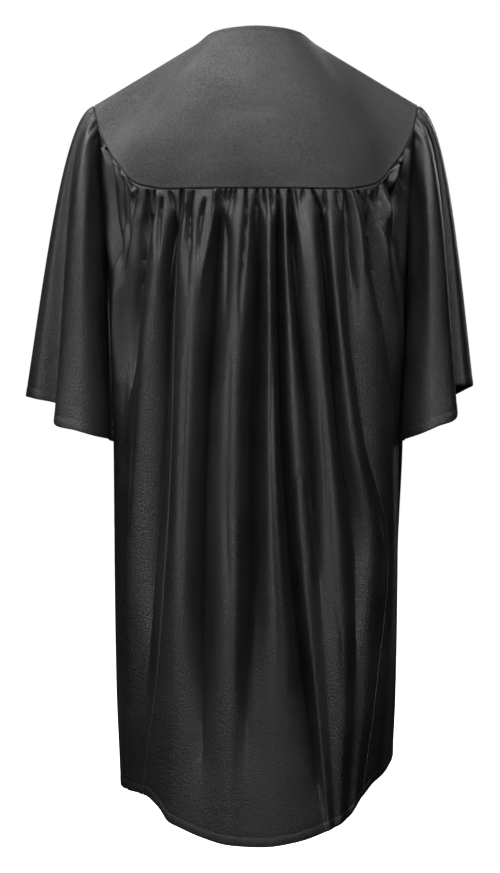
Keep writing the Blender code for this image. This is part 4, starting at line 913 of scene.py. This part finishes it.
def make_sleeve(name, rows, side):
    """A bell sleeve from the armhole to its hem, with the folds that its hem outline names."""
    names = SLEEVE_COLUMN_NAMES.split()[1:]
    shape = {key: np.array([row[index + 1] for row in rows], float) for index, key in enumerate(names)}
    stations = np.arange(len(rows), dtype=float)
    share_of_ring = np.arange(SLEEVE_COLUMNS) / SLEEVE_COLUMNS * stations[-1]
    cap, x, y, drop, swing, sway = (
        round_smooth(stations, shape[key], share_of_ring, grows=key == "cap") for key in names
    )
    hem = np.stack([x, y, -drop], axis=-1)
    top = armhole_ring(cap / 1000)
    under = np.sin(math.pi * share_of_ring / stations[-1])[:, None] ** 2
    length = np.linalg.norm(hem - top, axis=-1, keepdims=True)
    fall = CAP_FALL + (UNDER_FALL - CAP_FALL) * under[:, 0]
    near_top = top + length * np.stack([swing, sway, -fall], axis=-1)
    near_hem = hem + HEM_CURVE * (top - hem) + (1 - under) * np.array(HEM_PUFF)
    offsets = row_offsets(length[:, 0], FINE_ROWS, SLEEVE_HEM)
    share = (offsets / length[:, 0])[..., None]
    points = bezier(share, top, near_top, near_hem, hem)
    signed = np.where(cap > ARMHOLE_ROUND / 2, cap - ARMHOLE_ROUND, cap)
    normals = grid_normals(points, closed=True)
    relief = np.zeros(offsets.shape)
    for at, height, reach in zip(*(CAP_GATHERS[key] for key in ("cap", "height", "length"))):
        fade = ease(share[..., 0], 0.0, 0.025) * (1 - ease(share[..., 0], 0.35 * reach, reach))
        relief += height / 1000 * fade * np.exp(-(((signed - at) / CAP_GATHER_WIDTH) ** 2))
    relief += hem_relief(length[:, 0] - offsets, SLEEVE_HEM)
    points += normals * relief[..., None]
    normals = grid_normals(points, closed=True)
    centre = top.mean(axis=0)
    ring_way = unit((top - centre) * np.array([0.0, 1.0, 1.0]))
    normals = turned_to(normals, ring_way, offsets)
    points -= normals * (TUCK_DEPTH * (1 - ease(offsets, 0.0, TUCK)))[..., None]
    points[0] -= ring_way * 0.0004 + np.array([0.003, 0.0, 0.0])
    thick = thickness(length[:, 0] - offsets, SLEEVE_HEM)
    inner = points - normals * thick[..., None]
    mirror = np.array([side, 1.0, 1.0])
    piece = shell(f"cloth_{name}", points * mirror, inner * mirror, closed=True, flip=side < 0)
    return piece, points * mirror, normals * mirror


def noise(tree, scale, detail, stretch=None):
    """A noise of the object's own coordinates, scaled unevenly where stretch is given."""
    place = tree.nodes.new("ShaderNodeTexCoord").outputs["Object"]
    if stretch:
        mapping = tree.nodes.new("ShaderNodeMapping")
        mapping.inputs["Scale"].default_value = stretch
        tree.links.new(place, mapping.inputs["Vector"])
        place = mapping.outputs["Vector"]
    new = tree.nodes.new("ShaderNodeTexNoise")
    new.inputs["Scale"].default_value = scale
    new.inputs["Detail"].default_value = detail
    tree.links.new(place, new.inputs["Vector"])
    return new.outputs["Fac"]


def calculated(tree, operation, one, other):
    """The sum or product of an output and another output or a number."""
    new = tree.nodes.new("ShaderNodeMath")
    new.operation = operation
    tree.links.new(one, new.inputs[0])
    if isinstance(other, float):
        new.inputs[1].default_value = other
    else:
        tree.links.new(other, new.inputs[1])
    return new.outputs["Value"]


def map_range(tree, value, source, target):
    """An output mapped from one range to another."""
    new = tree.nodes.new("ShaderNodeMapRange")
    new.inputs["From Min"].default_value, new.inputs["From Max"].default_value = source
    new.inputs["To Min"].default_value, new.inputs["To Max"].default_value = target
    tree.links.new(value, new.inputs["Value"])
    return new.outputs["Result"]


def dress_shader(tree, factor, dark, light, height, strength, distance):
    """Gives the shader a colour between two along a factor, and a bump."""
    shader = tree.nodes["Principled BSDF"]
    ramp = tree.nodes.new("ShaderNodeValToRGB")
    for element, position, colour in zip(ramp.color_ramp.elements, (0.35, 0.65), (dark, light)):
        element.position = position
        element.color = (*colour, 1)
    tree.links.new(factor, ramp.inputs["Fac"])
    tree.links.new(ramp.outputs["Color"], shader.inputs["Base Color"])
    bump = tree.nodes.new("ShaderNodeBump")
    bump.inputs["Strength"].default_value = strength
    bump.inputs["Distance"].default_value = distance
    tree.links.new(height, bump.inputs["Height"])
    tree.links.new(bump.outputs["Normal"], shader.inputs["Normal"])


def plain_material(name, viewport_colour):
    """A new material, its node tree and its shader."""
    material = bpy.data.materials.new(name)
    material.use_nodes = True
    material.diffuse_color = (*viewport_colour, 1)
    return material, material.node_tree, material.node_tree.nodes["Principled BSDF"]


def satin_material(name, roughness, gloss):
    """Black polyester satin: uneven threads both ways, a fine grain, and a gloss that varies a little."""
    material, tree, shader = plain_material(name, (0.012, 0.012, 0.013))
    shader.inputs["Specular IOR Level"].default_value = gloss
    warp = noise(tree, 1.0, 2.0, stretch=(1500.0, 1500.0, 600.0))
    weft = noise(tree, 1.0, 2.0, stretch=(700.0, 700.0, 1600.0))
    threads = calculated(tree, "ADD", warp, weft)
    mottle = noise(tree, MOTTLE_SCALE, 2.0)
    uneven = calculated(tree, "ADD", noise(tree, CLOUD_SCALE, 3.0), mottle)
    varied = (roughness - ROUGHNESS_VARIES, roughness + ROUGHNESS_VARIES)
    tree.links.new(map_range(tree, uneven, (0.7, 1.3), varied), shader.inputs["Roughness"])
    half = calculated(tree, "MULTIPLY", threads, 0.5)
    relief = calculated(tree, "ADD", threads, mottle)
    dress_shader(tree, half, SATIN_DARK, SATIN_LIGHT, relief, 0.6, 0.0007)
    return material


def simple_material(name, colour, roughness, noise_scale=400.0, bump_strength=0.2):
    """A material with a little uneven colour and a fine bump."""
    material, tree, shader = plain_material(name, colour)
    shader.inputs["Roughness"].default_value = roughness
    grain = noise(tree, noise_scale, 3.0)
    dark, light = ([part * share for part in colour] for share in (0.75, 1.25))
    dress_shader(tree, grain, dark, light, grain, bump_strength, 0.0002)
    return material


def grains(name, rows, radius):
    """One mesh of small rounded rods, each from one point to another."""
    mesh = bmesh.new()
    for start, end in rows:
        way = Vector(end - start)
        matrix = way.to_track_quat("Z", "Y").to_matrix().to_4x4()
        matrix.translation = Vector((start + end) / 2)
        matrix = matrix @ Matrix.Diagonal((radius, radius, way.length / 2, 1.0))
        bmesh.ops.create_icosphere(mesh, subdivisions=1, radius=1.0, matrix=matrix)
    data = bpy.data.meshes.new(name)
    mesh.to_mesh(data)
    mesh.free()
    data.shade_smooth()
    thing = in_scene(name, data)
    return thing


def stitches(line):
    """Ends of the stitches along a line of points."""
    reach = np.concatenate([[0], np.cumsum(np.linalg.norm(np.diff(line, axis=0), axis=1))])
    starts = np.arange(STITCH_PITCH / 2, reach[-1] - STITCH_LENGTH, STITCH_PITCH)

    def places(at):
        return np.stack([np.interp(at, reach, line[:, axis]) for axis in range(3)], axis=-1)

    return list(zip(places(starts), places(starts + STITCH_LENGTH)))


def zip_stitch_lines(points, alongs, grids):
    """Lines beside the zip: down the front yokes and on down the front panels."""
    found = []
    for side in (1, -1):
        column = int(np.argmin(np.abs(alongs - side * (FRONT_EDGE - ZIP_STITCH_AWAY))))
        line = points[2:HEM_STITCH_ROW, column]
        found.append(line[line[:, 2] > -ZIP_BOTTOM])
        yoke = grids["yoke_front_left" if side > 0 else "yoke_front_right"][0]
        away = np.linalg.norm(yoke[-1] - yoke[-1, 0 if side > 0 else -1], axis=-1)
        column = int(np.argmin(np.abs(away - ZIP_STITCH_AWAY)))
        found.append(yoke[NECK_STITCH_ROW:-3, column])
    return found


def zip_chain():
    """Ends of the closed chain's teeth, which stand on the chain's front from top to bottom."""
    drops = np.arange(ZIP_TOP, ZIP_BOTTOM, TOOTH_PITCH)
    drops = drops[(drops < SLIDER_SPAN[0]) | (drops > SLIDER_SPAN[1])]
    lower = -look(BODY_FORM, "front_depth", drops)
    yoke, _, _ = yoke_surface(np.array([YOKE_FRONT_EDGE]), np.linspace(0, 1, 30)[:, None])
    upper = np.interp(drops, -yoke[:, 0, 2], yoke[:, 0, 1])
    y = np.where(drops < -yoke[-1, 0, 2], upper, lower) + TOOTH_SINK
    side = np.where(np.arange(len(drops)) % 2 == 0, TOOTH_SHIFT, -TOOTH_SHIFT)
    middle = np.stack([side, y, -drops], axis=-1)
    half = np.array([TOOTH_LENGTH / 2, 0.0, 0.0])
    return list(zip(middle - half, middle + half))


def area_light(name, place, at, size, energy):
    """A soft rectangular light."""
    data = bpy.data.lights.new(name, "AREA")
    data.shape = "RECTANGLE"
    data.size, data.size_y = size
    data.energy = energy
    thing = in_scene(name, data)
    thing.location = place
    thing.rotation_euler = (Vector(at) - thing.location).to_track_quat("-Z", "Y").to_euler()


def make_stage():
    """A pale floor, a white background, and soft lights, most of them high behind the camera."""
    data = bpy.data.meshes.new("floor")
    corners = [(-1, -1), (1, -1), (1, 1), (-1, 1)]
    data.from_pydata([(FLOOR_HALF * x, FLOOR_HALF * y, 0) for x, y in corners], [], [(0, 1, 2, 3)])
    floor = in_scene("floor", data)
    floor.location.z = FLOOR_Z
    floor_look = simple_material("pale_floor", (0.9, 0.9, 0.9), 0.8, noise_scale=3.0, bump_strength=0.0)
    shader = floor_look.node_tree.nodes["Principled BSDF"]
    shader.inputs["Emission Color"].default_value = (1, 1, 1, 1)
    shader.inputs["Emission Strength"].default_value = 1.3
    data.materials.append(floor_look)
    floor.visible_diffuse = False
    floor.visible_glossy = False
    world = bpy.data.worlds.new("studio")
    bpy.context.scene.world = world
    world.use_nodes = True
    tree = world.node_tree
    back = tree.nodes["Background"]
    seen = tree.nodes.new("ShaderNodeLightPath").outputs["Is Camera Ray"]
    strength = map_range(tree, seen, (0.0, 1.0), (WORLD_LIGHT, 1.0))
    tree.links.new(strength, back.inputs["Strength"])
    back.inputs["Color"].default_value = (1, 1, 1, 1)
    for row in LIGHTS:
        area_light(*row)


def make_camera():
    """Level camera behind the robe, where the photo was taken."""
    data = bpy.data.cameras.new("camera")
    data.sensor_width = SENSOR
    data.lens = SENSOR * CAMERA_PLACE[1] / FRAME_HEIGHT
    camera = in_scene("camera", data)
    camera.location = CAMERA_PLACE
    camera.rotation_euler = (math.radians(90), 0, math.radians(180))
    bpy.context.scene.camera = camera


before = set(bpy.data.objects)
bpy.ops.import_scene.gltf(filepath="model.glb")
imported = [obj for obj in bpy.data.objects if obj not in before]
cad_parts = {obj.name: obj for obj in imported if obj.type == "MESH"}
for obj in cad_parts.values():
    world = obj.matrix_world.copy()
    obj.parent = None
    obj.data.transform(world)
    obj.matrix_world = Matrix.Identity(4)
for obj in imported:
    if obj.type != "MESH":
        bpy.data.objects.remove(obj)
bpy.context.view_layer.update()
make_camera()
make_stage()
bpy.context.scene.view_settings.view_transform = "Standard"

satin = satin_material("black_satin_cloth", 0.55, 0.78)
yoke_satin = satin_material("black_satin_cloth_across", 0.74, 0.95)
thread = simple_material("black_thread", (0.003, 0.003, 0.003), 0.6)
tape = simple_material("black_zip_tape", (0.008, 0.008, 0.008), 0.8, noise_scale=900.0, bump_strength=0.5)
nylon = simple_material("black_nylon_teeth", (0.010, 0.010, 0.010), 0.35)
enamel = simple_material("black_enamel", (0.012, 0.012, 0.012), 0.28, noise_scale=300.0, bump_strength=0.05)

lines = fold_lines()
pieces, body_points, body_normals, body_alongs = make_body(lines)
yokes, yoke_grids = make_yokes()
pieces.update(yokes)
sleeve_grids = {}
for sleeve_name, sleeve_rows, sleeve_side in SLEEVES:
    pieces[sleeve_name], *sleeve_grids[sleeve_name] = make_sleeve(sleeve_name, sleeve_rows, sleeve_side)
for node_name, piece in pieces.items():
    piece.data.materials.append(yoke_satin if node_name.startswith("yoke") else satin)
    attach(piece, "robe")
    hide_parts(node_name)

sewing = {
    "neck_stitching": [points[NECK_STITCH_ROW] for points, _ in yoke_grids.values()],
    "hem_stitching": [body_points[HEM_STITCH_ROW]],
    "sleeve_left_stitching": [sleeve_grids["sleeve_left"][0][HEM_STITCH_ROW]],
    "sleeve_right_stitching": [sleeve_grids["sleeve_right"][0][HEM_STITCH_ROW]],
    "zip_stitching": zip_stitch_lines(body_points, body_alongs, yoke_grids),
}
for sewing_name, rows in sewing.items():
    ends = [pair for row in rows for pair in stitches(row)]
    seam = grains(sewing_name, ends, STITCH_RADIUS)
    seam.data.materials.append(thread)
    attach(seam, "robe")
chain = grains("zip_teeth", zip_chain(), TOOTH_WIRE)
chain.data.materials.append(nylon)
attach(chain, "robe")
for cad_name, look in (("zip_tape", tape), ("zip_slider", enamel), ("zip_pull_tab", enamel)):
    cad_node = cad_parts[cad_name]
    cad_node.data.materials.clear()
    cad_node.data.materials.append(look)
for cad_name, width in (("zip_slider", 0.0004), ("zip_pull_tab", 0.00015)):
    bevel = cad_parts[cad_name].modifiers.new("rounded_edges", "BEVEL")
    bevel.width = width
    bevel.segments = 2
    bevel.limit_method = "ANGLE"
